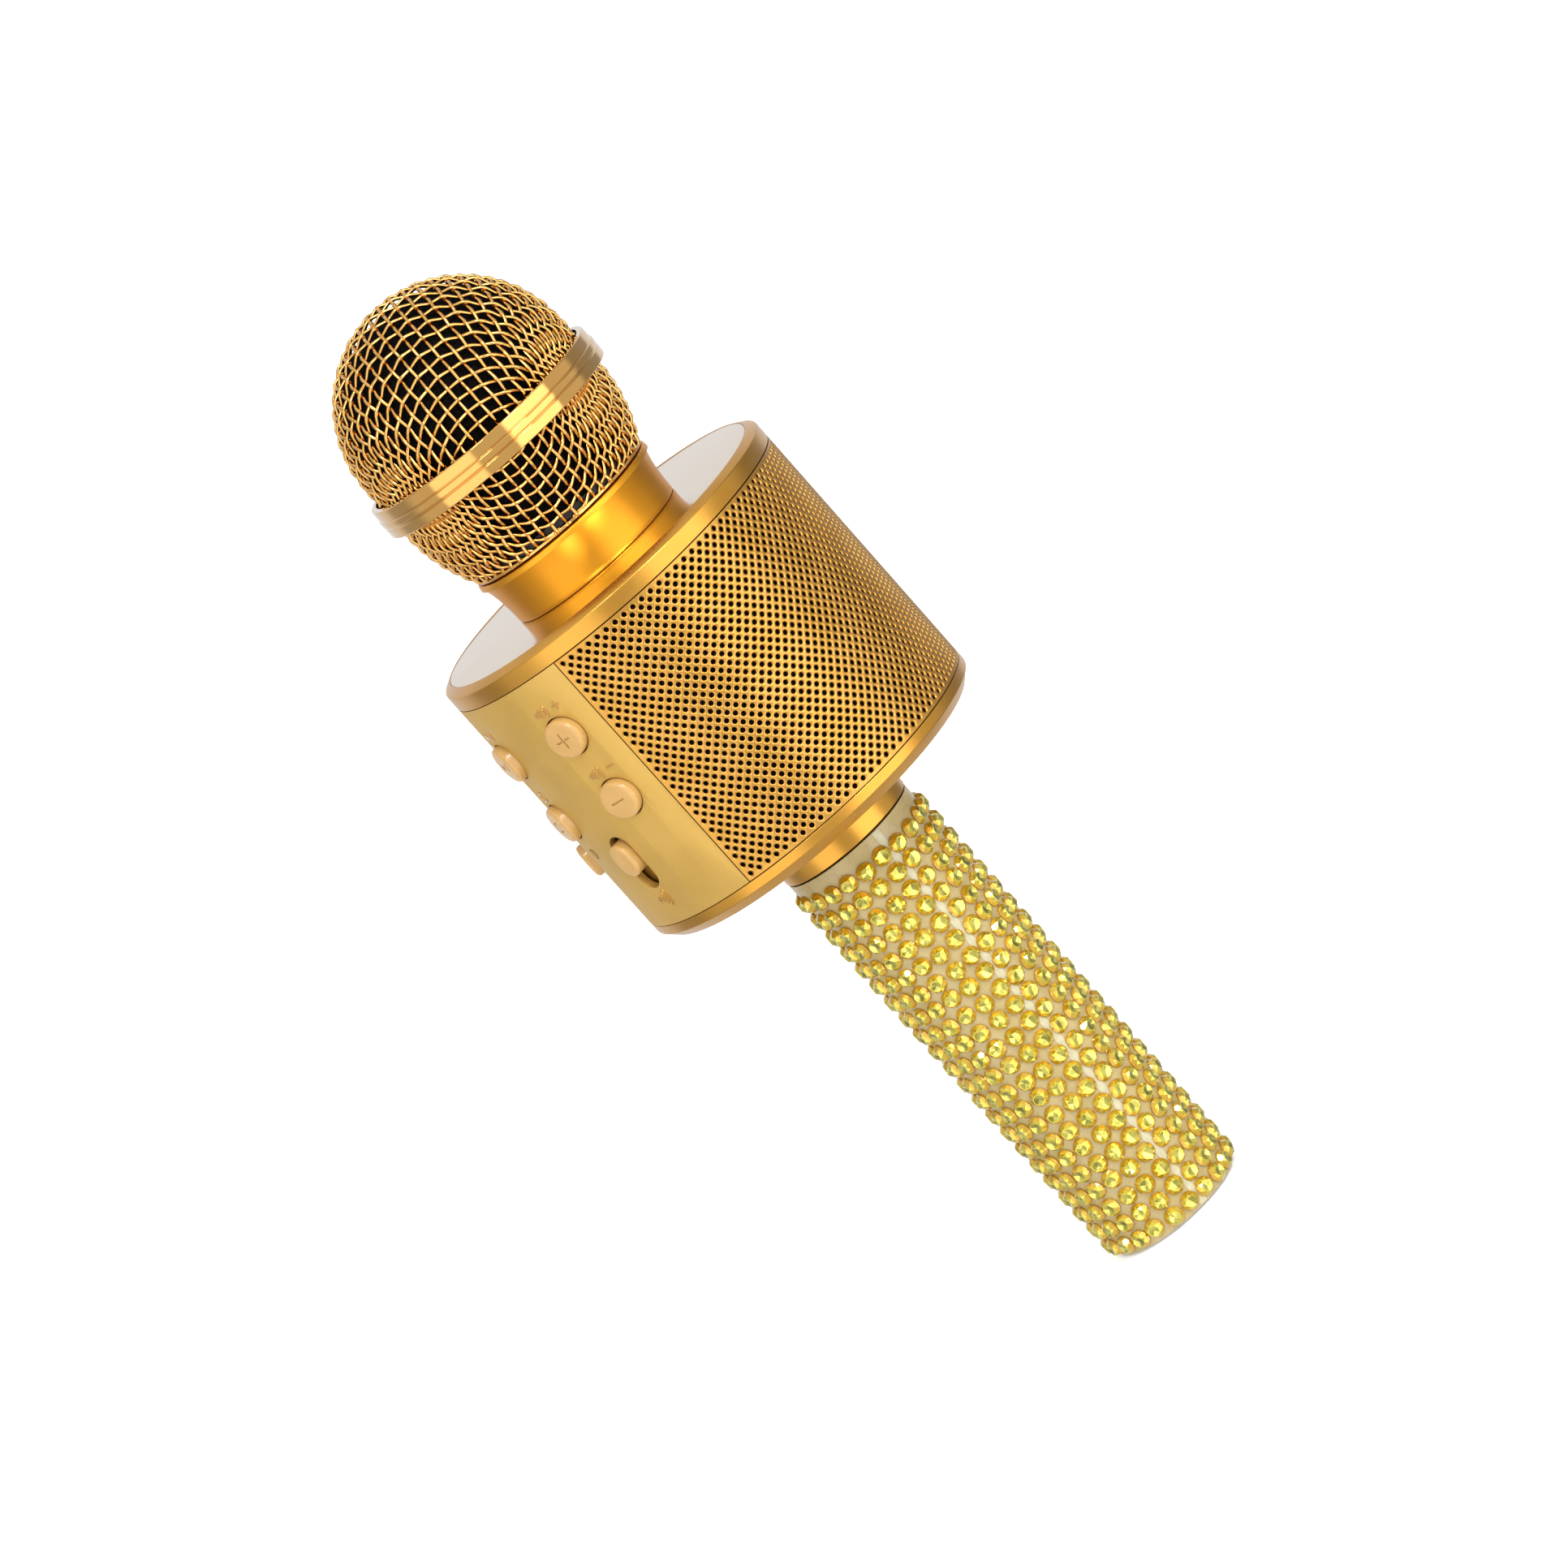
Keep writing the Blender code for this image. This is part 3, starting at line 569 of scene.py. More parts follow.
def make_ball():
    mid = BALL_R - 2 * WIRE_R
    seat = (RING_LOW + RING_HIGH) / 2
    dome = woven("dome_weave", Bowl(mid, mid, DOME_CENTRE, 1), 2.85, seat + 0.2, BALL_HIGH)
    place(dome, "head", "mesh", "grille_dome")
    cup_low = COLLAR_HIGH + 0.5
    cup = woven("cup_weave", Bowl(mid, CUP_REACH, CUP_SHOULDER, -1), 2.5, cup_low, seat - 0.2)
    place(cup, "head", "mesh", "grille_lower_cup")
    hem_r, hem_width = 20.9, 2.2
    hem = turned("cup_hem", rounded([
        (hem_r - hem_width, COLLAR_HIGH + 0.3, 0), (hem_r, COLLAR_HIGH + 0.3, 0.2),
        (hem_r, COLLAR_HIGH + 1.0, 0.25), (hem_r - hem_width, COLLAR_HIGH + 1.0, 0)]),
        MATERIALS["mesh"])
    place(hem, "head", "mesh")

    neck_low, neck_high = low("ball_thread_neck"), high("ball_thread_neck")
    place(threaded_neck(neck_low, neck_high), "head", "steel", "ball_thread_neck")
    # The black ring over the neck's flange is painted shade: it stands in for the shade inside the ball and
    # hides the bright steel flange.
    flange_r, shade_ring_r = 19.75, 20.3
    shade_ring = turned("neck_shade_ring", rounded([
        (flange_r, neck_high - 0.9, 0), (shade_ring_r - 0.2, neck_high - 0.9, 0.1),
        (shade_ring_r, neck_high + 0.6, 0.1), (18.0, neck_high + 0.6, 0.1), (18.0, neck_high + 0.15, 0),
        (flange_r, neck_high + 0.15, 0)]),
        MATERIALS["rubber"])
    place(shade_ring, "head", "rubber")

    inner, groove = BALL_R + 0.3, RING_R - 0.38
    first, second = RING_GROOVES
    ring = turned("ring_band", rounded([
        (inner, RING_LOW, 0), (RING_R - 0.1, RING_LOW, 0.3), (RING_R - 0.1, first - 0.3, 0.3),
        (groove, first, 0.1), (RING_R, first + 0.3, 0.25), (RING_R, second - 0.25, 0.3),
        (groove, second, 0.1), (RING_R - 0.2, second + 0.2, 0.15),
        (RING_R - 0.3, RING_HIGH, 0.35), (inner, RING_HIGH, 0)]), MATERIALS["ring"], sharp=45)
    place(ring, "head", "ring", "grille_ring")

    foam_r, foam_low, wall = 23.3, COLLAR_HIGH + 2.2, 3.0
    cup_levels = [foam_low + (CUP_SHOULDER - foam_low) * k / 8 for k in range(8)]
    outline = [(foam_r * math.sqrt(1 - ((CUP_SHOULDER - z) / CUP_REACH) ** 2), z) for z in cup_levels]
    outline += [(foam_r * math.cos(math.pi * k / 48), DOME_CENTRE + foam_r * math.sin(math.pi * k / 48))
                for k in range(24)]
    inside = [(r - wall, z) for r, z in outline[:-4] if r > wall + 2]
    foam = turned("foam_liner", outline + [(0, DOME_CENTRE + foam_r), (0, inside[-1][1])] + inside[::-1],
                  MATERIALS["foam"], steps=96, sharp=80)
    cells = random.Random(4)
    for vertex in foam.data.vertices:
        vertex.co *= 1 + cells.uniform(-0.0004, 0.0004)
    place(foam, "head", "foam", "foam_windscreen")


# ------------------------------------------------------------- drum and neck

def make_collar():
    foot = DISC_HIGH + 0.1
    wall = COLLAR_LIP_R - 1.8
    neck, bore = 15.6, 17.6
    flare = [(wall + 1.2 * (k / 12) ** 2.2, foot + 0.3 + (COLLAR_HIGH - 1.3 - foot - 0.3) * k / 12)
             for k in range(13)]
    lip = rounded([(wall, foot, 0), (COLLAR_LIP_R, COLLAR_HIGH - 1.2, 0.15),
                   (COLLAR_LIP_R - 0.2, COLLAR_HIGH, 0.45), (bore, COLLAR_HIGH, 0)])[1:]
    outline = [(neck, foot), (wall - 0.2, foot)] + flare + lip + [(bore, foot + 2.5), (neck, foot + 2.5)]
    collar = turned("collar_shell", outline, MATERIALS["collar"], sharp=40)
    place(collar, "housing", "collar", "grille_collar")


def make_covers():
    bed = DISC_LOW - 0.3
    slope_r = DRUM_R - COVER_EDGE
    seam = SEAM_HIGH + SEAM_GAP
    rim = turned("top_cover_shell", rounded([
        (LIP_INNER_R, SEAM_HIGH - 2.5, 0), (LIP_OUTER_R, SEAM_HIGH - 2.5, 0), (LIP_OUTER_R, seam, 0),
        (DRUM_R, seam, COVER_BEVEL), (DRUM_R, RIM_HIGH - 1.1, 0.5), (slope_r, RIM_HIGH + 0.15, 0.1),
        (slope_r, bed, 0), (COVER_BORE_R, bed, 0), (COVER_BORE_R, bed - 2.0, 0),
        (LIP_INNER_R, bed - 2.0, 0)]), MATERIALS["plated_case"], sharp=50)
    place(rim, "housing", "plated_case", "top_cover")
    disc_r = slope_r - 0.07
    disc = turned("disc_plate", rounded([
        (COVER_BORE_R, DISC_LOW, 0), (disc_r, DISC_LOW, 0), (disc_r, DISC_HIGH, 0.04),
        (COVER_BORE_R, DISC_HIGH, 0)]), MATERIALS["disc"])
    place(disc, "housing", "disc", "top_disc")

    bore, plate = 10.0, DRUM_LOW + 2.2
    seam = SEAM_LOW - SEAM_GAP
    tray = turned("bottom_cover_shell", rounded([
        (bore, DRUM_LOW, 0), (slope_r, DRUM_LOW, 0.4), (DRUM_R, DRUM_LOW + COVER_EDGE, 0.5),
        (DRUM_R, seam, COVER_BEVEL), (LIP_OUTER_R, seam, 0), (LIP_OUTER_R, SEAM_LOW + 2.8, 0),
        (LIP_INNER_R, SEAM_LOW + 2.8, 0), (LIP_INNER_R, plate, 0), (bore, plate, 0)]),
        MATERIALS["plated_case"], sharp=50)

    def drilled(node, outline, steps):
        """Round tool on the upright axis through the middle of a node."""
        tool = turned(node + "_hole", outline, None, steps)
        lowest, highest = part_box(node)
        tool.data.transform(Matrix.Translation(((lowest.x + highest.x) / 2, (lowest.y + highest.y) / 2, 0)))
        return tool

    below, above = DRUM_LOW - 5, DRUM_LOW + 10
    head_r, shank_r, seat = 2.8, 1.55, DRUM_LOW + 1.4
    screw = [(0, below), (head_r, below), (head_r, seat), (shank_r, seat), (shank_r, above), (0, above)]
    tools = [drilled("cover_screw_%d" % number, screw, 32) for number in range(1, 5)]
    gap = 0.3
    for node in ("charge_port", "card_slot"):
        lowest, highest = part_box(node)
        size = (highest - lowest) / MM
        middle = (highest + lowest) / 2 / MM
        tools.append(block(node + "_hole", (size.x + 2 * gap, size.y + 2 * gap, 8.0),
                           (middle.x, middle.y, DRUM_LOW)))
    jack_r = 3.3
    tools.append(drilled("audio_jack", [(0, below), (jack_r, below), (jack_r, above), (0, above)], 48))
    carve(tray, tools)
    place(tray, "housing", "plated_case", "bottom_cover")


def grille_skin(name, first_column, last_column):
    """Columns of the punched sheet: staggered holes with sunk edges, and plain borders at its ends.

    A column's cells are diamonds two steps wide, so two neighbouring skins meet in a zigzag.
    """
    bm = bmesh.new()
    known = {}
    margin = 0.14
    bottom = SEAM_LOW + margin
    step_z = (SEAM_HIGH - margin - bottom) / HOLE_ROWS
    step_turn = math.radians(360 - 2 * GRILLE_START) / HOLE_COLUMNS
    step_round = step_turn * DRUM_R

    def vertex(i, j, inset):
        """Point at a place in the pattern, at a depth below the drum's surface."""
        key = (round(i * 1000), round(j * 1000), round(inset * 1000))
        if key not in known:
            turn = math.radians(GRILLE_START) + i * step_turn
            r = DRUM_R - inset
            known[key] = bm.verts.new((r * math.sin(turn) * MM, -r * math.cos(turn) * MM,
                                       (bottom + j * step_z) * MM))
        return known[key]

    def corner(i, j):
        """Point on the front, where only the middles of a cell's sides stand a little lower."""
        return vertex(i, j, 0.0 if i % 1 == 0 and j % 1 == 0 else 0.02)

    def around(i, j, size, inset):
        turns = [math.pi * k / 4 for k in range(8)]
        return [vertex(i + size * math.cos(turn) / step_round, j + size * math.sin(turn) / step_z, inset)
                for turn in turns]

    def cell(i, j):
        edge = [(1, 0), (0.5, 0.5), (0, 1), (-0.5, 0.5), (-1, 0), (-0.5, -0.5), (0, -1), (0.5, -0.5)]
        loops = [[corner(i + x, j + y) for x, y in edge],
                 around(i, j, HOLE_R + 0.18, 0.03), around(i, j, HOLE_R + 0.06, 0.19),
                 around(i, j, HOLE_R, 0.32), around(i, j, HOLE_R, SKIN_WALL),
                 [vertex(i + x, j + y, SKIN_WALL) for x, y in edge]]
        for outer, inner in zip(loops, loops[1:]):
            for k in range(8):
                bm.faces.new((outer[k - 1], outer[k], inner[k], inner[k - 1]))

    def filler(*corners):
        """Plain piece of a border, where the sheet's edge would cut through a hole."""
        bm.faces.new([corner(i, j) for i, j in corners])
        bm.faces.new([vertex(i, j, SKIN_WALL) for i, j in corners])

    def rim(places):
        for (i, j), (k, l) in zip(places, places[1:]):
            bm.faces.new((vertex(i, j, 0), vertex(k, l, 0), vertex(k, l, SKIN_WALL), vertex(i, j, SKIN_WALL)))

    for i in range(first_column, last_column + 1):
        x = 1 if i == 0 else -1 if i == HOLE_COLUMNS else 0
        for j in range(i % 2, HOLE_ROWS + 1, 2):
            y = 1 if j == 0 else -1 if j == HOLE_ROWS else 0
            if x and y:
                filler((i, j), (i + x, j), (i + x / 2, j + y / 2), (i, j + y))
            elif x:
                filler((i, j - 1), (i + x / 2, j - 0.5), (i + x, j), (i + x / 2, j + 0.5), (i, j + 1))
            elif y:
                filler((i - 1, j), (i - 0.5, j + y / 2), (i, j + y), (i + 0.5, j + y / 2), (i + 1, j))
            else:
                cell(i, j)
    for i in {0, HOLE_COLUMNS} & {first_column, last_column}:
        rim([(i, j) for j in range(HOLE_ROWS + 1) if j in (0, HOLE_ROWS) or (i + j) % 2])
    ends = (max(first_column - 1, 0), min(last_column + 1, HOLE_COLUMNS))
    for j in (0, HOLE_ROWS):
        rim([(i, j) for i in range(ends[0], ends[1] + 1) if i in (0, HOLE_COLUMNS) or (i + j) % 2])
    return finish_mesh(name, bm, [MATERIALS["speaker_grille"]], 75)


def make_grille():
    """Punched sheet round the back and sides, with black cloth behind it."""
    middle = HOLE_COLUMNS // 4 * 2
    place(grille_skin("grille_skin_right", 0, middle), "housing", "speaker_grille", "speaker_grille")
    place(grille_skin("grille_skin_left", middle + 1, HOLE_COLUMNS), "housing", "speaker_grille")
    inner, outer = DRUM_R - 1.2, DRUM_R - 1.0
    bottom, top = SEAM_LOW + 0.3, SEAM_HIGH - 0.3
    spans = 72
    rows = []
    for k in range(spans + 1):
        turn = math.radians(GRILLE_START + 0.5 + (359 - 2 * GRILLE_START) * k / spans)
        rows.append([(r * math.sin(turn), -r * math.cos(turn), z)
                     for r, z in ((inner, bottom), (outer, bottom), (outer, top), (inner, top))])
    place(loft("grille_cloth", rows, CLOTH), "housing", "foam")


# ------------------------------------------------------------- control panel

def wrap(obj):
    """Bends a flat piece round the drum: X is the way round, Y the depth and Z the height."""
    for vertex in obj.data.vertices:
        turn = vertex.co.x / (DRUM_R * MM)
        r = DRUM_R * MM - vertex.co.y
        vertex.co = (r * math.sin(turn), -r * math.cos(turn), vertex.co.z)
    return obj


def prism(name, outline, back, front):
    """Flat shape of (x, z) points in the panel's plane, from one depth to another."""
    return loft(name, [[(x, depth, z) for x, z in outline] for depth in (back, front)], None)


def circle(x, z, size, steps=48):
    return [(x + size * math.cos(2 * math.pi * k / steps), z + size * math.sin(2 * math.pi * k / steps))
            for k in range(steps)]


def centre_of(node):
    """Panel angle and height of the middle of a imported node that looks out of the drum."""
    lowest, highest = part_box(node)
    middle = (lowest + highest) / 2
    return math.degrees(math.atan2(middle.x, -middle.y)), middle.z / MM


def make_panel():
    wall = 1.6
    half = DEGREE * PANEL_HALF_ANGLE
    plate = block("panel_plate", (2 * half, wall, SEAM_HIGH - SEAM_LOW - 0.2),
                  (0, wall / 2, (SEAM_HIGH + SEAM_LOW) / 2), MATERIALS["panel"])
    through = (3, -1)
    tools = []
    for name in BUTTONS:
        angle, height = centre_of("button_" + name)
        tools.append(prism("hole_" + name, circle(angle * DEGREE, height, BUTTON_R + 0.28), *through))
    for name in SLIDERS:
        angle, height = centre_of("slider_track_" + name)
        outline = [(angle * DEGREE + x, height + y) for x, y, _ in stadium(SLOT_LENGTH, SLOT_WIDTH, 0)]
        tools.append(prism("slot_" + name, outline, *through))
    _, height = centre_of("indicator_lens")
    tools.append(prism("window", circle(0, height, 1.3, 24), *through))
    carve(plate, tools)
    soften(plate, 0.28, 3)

    # Cut into upright strips, so that it bends evenly.
    bm = bmesh.new()
    bm.from_mesh(plate.data)
    strips = 64
    for k in range(1, strips):
        everything = bm.verts[:] + bm.edges[:] + bm.faces[:]
        bmesh.ops.bisect_plane(bm, geom=everything, dist=1e-7, plane_no=(1, 0, 0),
                               plane_co=((2 * k / strips - 1) * half * MM, 0, 0))
    bm.to_mesh(plate.data)
    bm.free()
    shade(wrap(plate).data)
    place(plate, "housing", "panel", "control_panel")


BUTTONS = ("volume_up", "volume_down", "play", "mode", "next", "previous")
SLIDERS = ("echo", "voice")
STROKE = 0.42


def bar(x, z, width, height):
    a, b = width / 2, height / 2
    return [(x + u, z + v) for u, v in ((-a, -b), (a, -b), (a, b), (-a, b))]


def cross(x, z, size, stroke=STROKE):
    a, b = stroke / 2, size / 2
    return [(x + u, z + v) for u, v in ((-a, -b), (a, -b), (a, -a), (b, -a), (b, a), (a, a),
                                        (a, b), (-a, b), (-a, a), (-b, a), (-b, -a), (-a, -a))]


def wedge(x, z, size, way=1):
    """Triangle that points along X, or against it with way -1."""
    return [(x - way * size / 2, z - size / 2), (x + way * size / 2, z), (x - way * size / 2, z + size / 2)]


def wave(x, z, size, first, last, stroke=STROKE, steps=12):
    """Band along an arc round a point, between two angles in degrees."""
    points = []
    for r, turns in ((size + stroke / 2, range(steps + 1)), (size - stroke / 2, range(steps, -1, -1))):
        for k in turns:
            turn = math.radians(first + (last - first) * k / steps)
            points.append((x + r * math.cos(turn), z + r * math.sin(turn)))
    return points


def speaker_sign(x, z):
    horn = [(x - 1.5, z - 0.5), (x - 0.8, z - 0.5), (x + 0.1, z - 1.2), (x + 0.1, z + 1.2),
            (x - 0.8, z + 0.5), (x - 1.5, z + 0.5)]
    return [horn, wave(x, z, 0.9, -50, 50), wave(x, z, 1.7, -50, 50)]


def make_signs():
    """Small raised signs above the buttons and below the slots."""
    above, below = BUTTON_R + 2.2, -SLOT_LENGTH / 2 - 2.6
    shapes = []

    def add(node, rise, *signs):
        angle, height = centre_of(node)
        shapes.extend((angle, height + rise, sign) for sign in signs)

    add("button_volume_up", above, *speaker_sign(-1.2, 0), cross(3.1, 0, 1.9))
    add("button_volume_down", above, *speaker_sign(-1.2, 0), bar(3.1, 0, 1.9, STROKE))
    add("button_play", above, wedge(-0.9, 0, 2.0), bar(0.8, 0, STROKE, 2.0), bar(1.7, 0, STROKE, 2.0))
    add("button_mode", above, wave(0, 0, 1.0, 100, 350), wedge(0.2, 1.05, 0.9))
    for name, way in (("next", 1), ("previous", -1)):
        add("button_" + name, above, wedge(-way * 1.3, 0, 1.7, way), wedge(way * 0.4, 0, 1.7, way),
            bar(way * 1.7, 0, STROKE, 1.7))
    add("slider_track_echo", below, wave(-1.9, 0, 0.28, 0, 360, 0.5, 24),
        *[wave(-1.9, 0, size, -38, 38, 0.36) for size in (1.2, 2.2, 3.2)])
    add("slider_track_voice", below, wave(0, 0.5, 0.55, 0, 360, 0.9, 24), wave(0, 0.4, 1.3, 200, 340),
        bar(0, -1.3, STROKE, 0.8))
    bm = bmesh.new()
    for angle, height, shape in shapes:
        outline = [(angle * DEGREE + x, height + z) for x, z in shape]
        sign = prism("sign", outline, 0.1, -0.16)
        bm.from_mesh(sign.data)
        bpy.data.objects.remove(sign, do_unlink=True)
    signs = finish_mesh("panel_signs", bm, [MATERIALS["ring"]])
    wrap(soften(signs, 0.06, 2))
    place(signs, "housing", "ring")


def button_signs(name):
    """Engraved shapes on a button's cap, in its own plane."""
    thin = 0.36
    return {
        "volume_up": [cross(0, 0, 3.4, thin)],
        "volume_down": [bar(0, 0, 3.4, thin)],
        "play": [wedge(-0.6, 0, 1.8), bar(0.9, 0, thin, 1.8), bar(1.6, 0, thin, 1.8)],
        "mode": [wave(0, 0, 1.2, 0, 330, thin, 24)],
        "next": [wedge(-0.8, 0, 1.5), wedge(0.7, 0, 1.5), bar(1.7, 0, thin, 1.5)],
        "previous": [wedge(0.8, 0, 1.5, -1), wedge(-0.7, 0, 1.5, -1), bar(-1.7, 0, thin, 1.5)],
    }[name]


def make_buttons():
    back, front = INSIDE_FLANGE
    for name in BUTTONS:
        angle, height = centre_of("button_" + name)
        button = turned("cap_" + name, rounded([
            (0, CONTROL_LOW, 0), (1.6, CONTROL_LOW, 0), (1.6, back, 0), (BUTTON_R + 1, back, 0),
            (BUTTON_R + 1, front, 0), (BUTTON_R, front, 0), (BUTTON_R, CAP_TOP - 0.1, 0.85),
            (1.5, CAP_TOP, 0), (0, CAP_TOP, 0)], 8),
            MATERIALS["controls"], 96)
        tools = []
        for number, shape in enumerate(button_signs(name)):
            rows = [[(x, y, z) for x, y in shape] for z in (CAP_TOP - 0.3, CAP_TOP + 1)]
            tools.append(loft("engraving_%d" % number, rows, None))
        carve(button, tools)
        place(face_out(button, angle, height), name + "_key", "controls", "button_" + name)


def make_knobs():
    length, width, edge = 7.5, 5.4, 0.75
    foot = CONTROL_LOW + 0.7
    steps = 8
    for name in SLIDERS:
        angle, height = centre_of("slider_knob_" + name)
        rows = [stadium(3.0, 1.6, CONTROL_LOW), stadium(3.0, 1.6, foot), stadium(length, width, foot)]
        for k in range(steps + 1):
            turn = math.radians(90 * k / steps)
            inset = edge * (1 - math.cos(turn))
            rows.append(stadium(length - 2 * inset, width - 2 * inset,
                                CAP_TOP - 0.15 - edge + edge * math.sin(turn)))
        rows.append(stadium(length - 4 * edge, width - 4 * edge, CAP_TOP - 0.1))
        knob = loft("knob_" + name, rows, MATERIALS["controls"])
        place(face_out(knob, angle, height), name + "_knob", "controls", "slider_knob_" + name)
        # Long enough to close the slot behind the knob, wherever that stands. Its dark gold is painted shade
        # of the deep slot.
        shutter = loft("shutter_" + name, [stadium(SLOT_LENGTH + 3.5, width + 2, z) for z in INSIDE_FLANGE],
                       SLOT_SHADE)
        place(face_out(shutter, angle, height), name + "_knob", "controls")


def make_lens():
    low_face, step = 37.3, 37.9
    lens = turned("lens_dome", rounded([
        (0, low_face, 0), (1.8, low_face, 0), (1.8, step, 0), (1.0, step, 0), (1.0, LENS_HIGH - 0.1, 0.35),
        (0, LENS_HIGH, 0)]), MATERIALS["lens"], 48)
    _, height = centre_of("indicator_lens")
    place(face_out(lens, 0, height), "housing", "lens", "indicator_lens")


# -------------------------------------------------------------------- handle

STONE_COLUMNS = 22
STONE_PITCH = 4.42
STONE_SIZE = 2.04
# Angle of the painted highlight strip along the handle; the stone columns are set out from it.
HIGHLIGHT_STRIP_ANGLE = 93.8


def add_stone(bm, frame_of_stone, size, tall):
    """Faceted stone with a flat back; its middle is sunk as a star, like the foil seen through it."""
    rows = [(16, 0.93, -0.1, 0.5), (16, 1.0, 0.24, 0.5), (8, 0.84, 0.62, 0.0), (8, 0.60, 0.96, 0.5),
            (8, 0.55, 0.95, 0.5)]
    rings = []
    for count, reach, level, shift in rows:
        ring = []
        for k in range(count):
            turn = 2 * math.pi * (k + shift) / count
            ring.append(bm.verts.new(frame_of_stone @ Vector((
                size * reach * math.cos(turn) * MM, size * reach * math.sin(turn) * MM, tall * level * MM))))
        rings.append(ring)
    base, girdle, crown, table, well = rings
    # The star's faces round the sunk heart take the third material, the foil's yellow with painted
    # reflection.
    heart = bm.verts.new(frame_of_stone @ Vector((0, 0, (tall * 0.95 - 0.3) * MM)))
    bm.faces.new(base[::-1]).material_index = 1
    for k in range(16):
        bm.faces.new((base[k - 1], base[k], girdle[k], girdle[k - 1])).material_index = 1
    for k in range(8):
        left, right = girdle[2 * k - 1], girdle[2 * k]
        bm.faces.new((left, right, crown[k])).material_index = 1
        bm.faces.new((right, girdle[2 * k + 1], crown[(k + 1) % 8], crown[k])).material_index = 1
        bm.faces.new((crown[k], table[k], table[k - 1]))
        bm.faces.new((crown[k], crown[(k + 1) % 8], table[k]))
        bm.faces.new((table[k - 1], table[k], well[k], well[k - 1]))
        bm.faces.new((well[k - 1], well[k], heart)).material_index = 2


def make_handle():
    inner, outer = FILM_R - 0.15, FILM_R + 0.15
    film = turned("handle_film", rounded([
        (inner, GRIP_LOW, 0), (outer, GRIP_LOW, 0.1), (outer, GRIP_HIGH, 0.1), (inner, GRIP_HIGH, 0)], 3),
        FILM)
    place(film, "housing", "stones", "rhinestone_sleeve")

    # Pale strip along the film, between two columns of stones: a painted highlight, standing a little proud
    # of the film.
    half = math.degrees(0.8 / FILM_R)
    spans = 40
    rows = []
    for k in range(spans + 1):
        z = GRIP_LOW + 0.2 + (GRIP_HIGH - GRIP_LOW - 0.4) * k / spans
        wander = half * (1 + 0.12 * math.sin(k * 2.1))
        row = []
        for r, way in ((FILM_R, -1), (FILM_R + 0.24, -1), (FILM_R + 0.27, 0), (FILM_R + 0.24, 1),
                       (FILM_R, 1)):
            turn = math.radians(HIGHLIGHT_STRIP_ANGLE + way * wander)
            row.append((r * math.sin(turn), -r * math.cos(turn), z))
        rows.append(row)
    place(loft("film_highlight_strip", rows, HIGHLIGHT_STRIP), "housing", "stones")

    chance = random.Random(11)
    start = GRIP_LOW + 2.35
    rows = int((GRIP_HIGH - 2.0 - start) / STONE_PITCH) + 1
    bm = bmesh.new()
    for column in range(STONE_COLUMNS):
        lean = chance.uniform(-0.35, 0.35)
        for row in range(rows):
            angle = HIGHLIGHT_STRIP_ANGLE + 360 * (column + 0.5) / STONE_COLUMNS + chance.uniform(-0.7, 0.7)
            height = start + row * STONE_PITCH + lean + chance.uniform(-0.14, 0.14)
            tilt = Matrix.Rotation(math.radians(chance.uniform(-6, 6)), 4, "X")
            spin = Matrix.Rotation(chance.uniform(0, 2 * math.pi), 4, "Z")
            base = Matrix.Translation((0, 0, (FILM_R + 0.1) * MM))
            add_stone(bm, looking_out(angle, height) @ base @ tilt @ spin,
                      STONE_SIZE + chance.uniform(-0.05, 0.04), STONE_R - FILM_R - 0.2)
    stones = finish_mesh("handle_stones", bm, [CROWN, EDGE, HEART_AND_REFLECTION], 1)
    place(stones, "housing", "stones")

    wall, depth = 1.5, 7.0
    cap = turned("cap_shell", rounded([
        (0, 0, 0), (HANDLE_BORE_R, 0, 0.35), (HANDLE_BORE_R, depth, 0), (HANDLE_BORE_R - wall, depth, 0),
        (HANDLE_BORE_R - wall, wall, 0), (0, wall, 0)]),
        MATERIALS["plated_case"])
    place(cap, "housing", "plated_case", "end_cap")
    top, bore, spigot = DRUM_LOW - 0.3, 8.0, 9.7
    neck = turned("adapter_shell", rounded([
        (bore, ADAPTER_LOW - 8.5, 0), (HANDLE_BORE_R, ADAPTER_LOW - 8.5, 0),
        (HANDLE_BORE_R, ADAPTER_LOW, 0), (ADAPTER_R, ADAPTER_LOW, 0.3), (ADAPTER_R, top, 0.3),
        (spigot, top, 0), (spigot, top + 4.5, 0), (bore, top + 4.5, 0)]), MATERIALS["plated_case"])
    place(neck, "housing", "plated_case", "handle_adapter")


def finish_packed_nodes():
    """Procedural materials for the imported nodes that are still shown."""
    for part in frame["record"]["subparts"]:
        material = MATERIALS.get(part["material_slot"])
        # Slider tracks get the dark gold of painted shade in the slots.
        if part["node"].startswith("slider_track"):
            material = SLOT_SHADE
        if material:
            for slot in frame["nodes"][part["node"]].material_slots:
                slot.material = material


# ------------------------------------------------------------ camera, studio

def make_camera():
    azimuth, elevation, roll = math.radians(76.605), math.radians(11.384), math.radians(41.73)
    aim = Vector((-1.108, -2.301, 115.907)) * MM
    distance = 1390.4 * MM
    back = Vector((math.cos(elevation) * math.sin(azimuth), -math.cos(elevation) * math.cos(azimuth),
                   math.sin(elevation)))
    level = Vector((math.cos(azimuth), math.sin(azimuth), 0))
    upright = back.cross(level)
    right = level * math.cos(roll) - upright * math.sin(roll)
    up = level * math.sin(roll) + upright * math.cos(roll)
    data = bpy.data.cameras.new("camera")
    data.lens, data.sensor_width = 163.5, 36
    data.clip_end = 50
    camera = bpy.data.objects.new("camera", data)
    facing = Matrix((right, up, back)).transposed().to_4x4()
    camera.matrix_world = Matrix.Translation(aim + back * distance) @ facing
    bpy.context.scene.collection.objects.link(camera)
    bpy.context.scene.camera = camera


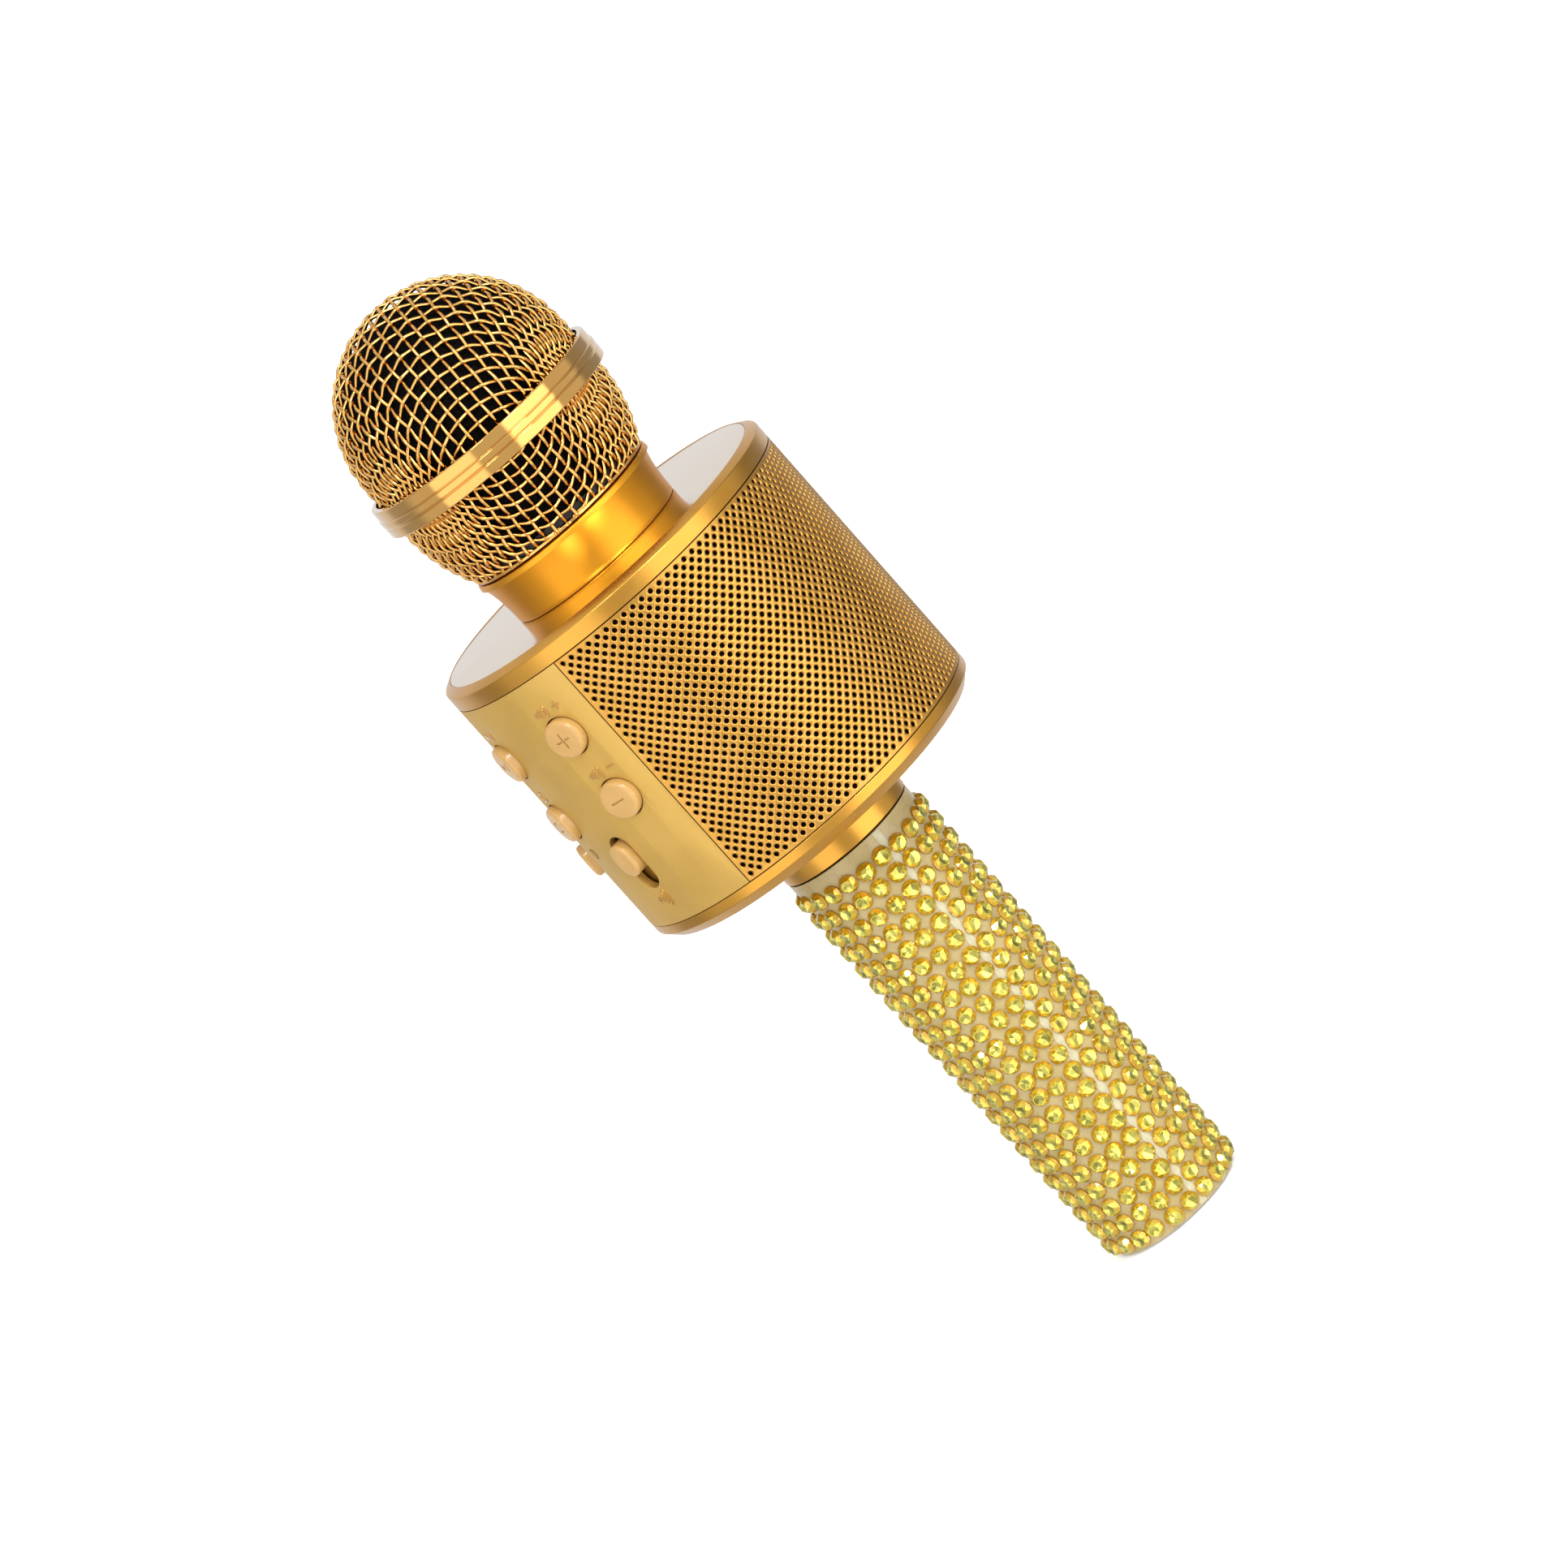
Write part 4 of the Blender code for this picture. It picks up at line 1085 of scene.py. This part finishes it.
def make_floor():
    """Pale sweep, just below the handle's end. Polished metal mirrors the studio's lights instead."""
    bm = bmesh.new()
    bmesh.ops.create_grid(bm, x_segments=8, y_segments=8, size=9.0)
    floor = finish_mesh("floor", bm, [grained("paper_sweep", (0.90, 0.90, 0.90), (0.93, 0.93, 0.93),
                                              (0.8, 0.9), 0.0, patch=400, grain=20, depth=0.05)])
    shader = floor.data.materials[0].node_tree.nodes["Principled BSDF"]
    shader.inputs["Emission Color"].default_value = (1, 1, 1, 1)
    shader.inputs["Emission Strength"].default_value = 0.35
    floor.location.z = -0.0003
    floor.visible_glossy = False


def calculate(tree, operation, *sources):
    """Output of a math node whose inputs are numbers or other outputs."""
    node = tree.nodes.new("ShaderNodeMath")
    node.operation = operation
    for socket, source in zip(node.inputs, sources):
        if isinstance(source, float):
            socket.default_value = source
        else:
            tree.links.new(source, socket)
    return node.outputs[0]


def softbox(tree, direction, light_before, azimuth, elevation, wide, tall, strength, soft):
    """Rectangle of light or shade in the surroundings, wide and tall in slopes from its middle."""
    azimuth, elevation = math.radians(azimuth), math.radians(elevation)
    ahead = Vector((math.cos(elevation) * math.sin(azimuth), -math.cos(elevation) * math.cos(azimuth),
                    math.sin(elevation)))
    across = Vector((math.cos(azimuth), math.sin(azimuth), 0))
    upright = ahead.cross(across)
    parts = []
    for axis in (ahead, across, upright):
        dot = tree.nodes.new("ShaderNodeVectorMath")
        dot.operation = "DOT_PRODUCT"
        dot.inputs[1].default_value = axis
        tree.links.new(direction, dot.inputs[0])
        parts.append(dot.outputs["Value"])
    front = calculate(tree, "MAXIMUM", parts[0], 0.0001)
    masks = []
    for part, reach in ((parts[1], wide), (parts[2], tall)):
        edge = tree.nodes.new("ShaderNodeMapRange")
        edge.interpolation_type = "SMOOTHSTEP"
        edge.inputs["From Min"].default_value = reach + soft
        edge.inputs["From Max"].default_value = reach - soft
        slope = calculate(tree, "ABSOLUTE", calculate(tree, "DIVIDE", part, front))
        tree.links.new(slope, edge.inputs["Value"])
        masks.append(edge.outputs["Result"])
    mix = tree.nodes.new("ShaderNodeMix")
    tree.links.new(calculate(tree, "MULTIPLY", *masks), mix.inputs["Factor"])
    tree.links.new(light_before, mix.inputs["A"])
    mix.inputs["B"].default_value = strength
    return mix.outputs["Result"]


def make_studio():
    """Pale surroundings with soft lights, two darker sides and two small lights for sparkle.

    The camera sees plain white behind the object.
    """
    world = bpy.data.worlds.new("studio")
    bpy.context.scene.world = world
    world.use_nodes = True
    tree = world.node_tree
    background = tree.nodes["Background"]
    direction = tree.nodes.new("ShaderNodeTexCoord").outputs["Generated"]
    base = tree.nodes.new("ShaderNodeValue")
    base.outputs[0].default_value = 0.84
    light = base.outputs[0]
    for patch in (
            dict(azimuth=114, elevation=0, wide=0.46, tall=1.1, strength=2.6, soft=0.04),
            dict(azimuth=32, elevation=0, wide=0.42, tall=0.9, strength=1.9, soft=0.05),
            dict(azimuth=-36, elevation=0, wide=0.30, tall=1.4, strength=0.50, soft=0.15),
            dict(azimuth=196, elevation=0, wide=0.40, tall=1.4, strength=0.40, soft=0.10),
            dict(azimuth=80, elevation=78, wide=0.8, tall=0.8, strength=1.1, soft=0.2),
            dict(azimuth=104, elevation=42, wide=0.11, tall=0.11, strength=24, soft=0.03),
            dict(azimuth=62, elevation=33, wide=0.09, tall=0.09, strength=20, soft=0.03)):
        light = softbox(tree, direction, light, **patch)
    plain = tree.nodes.new("ShaderNodeMix")
    plain.inputs["B"].default_value = 1.0
    ray = tree.nodes.new("ShaderNodeLightPath")
    tree.links.new(ray.outputs["Is Camera Ray"], plain.inputs["Factor"])
    tree.links.new(light, plain.inputs["A"])
    tree.links.new(plain.outputs["Result"], background.inputs["Strength"])
    background.inputs["Color"].default_value = (1, 1, 1, 1)
    bpy.context.scene.view_settings.view_transform = "Standard"


make_camera()
make_floor()
make_studio()
make_ball()
make_collar()
make_covers()
make_grille()
make_panel()
make_signs()
make_buttons()
make_knobs()
make_lens()
make_handle()
finish_packed_nodes()
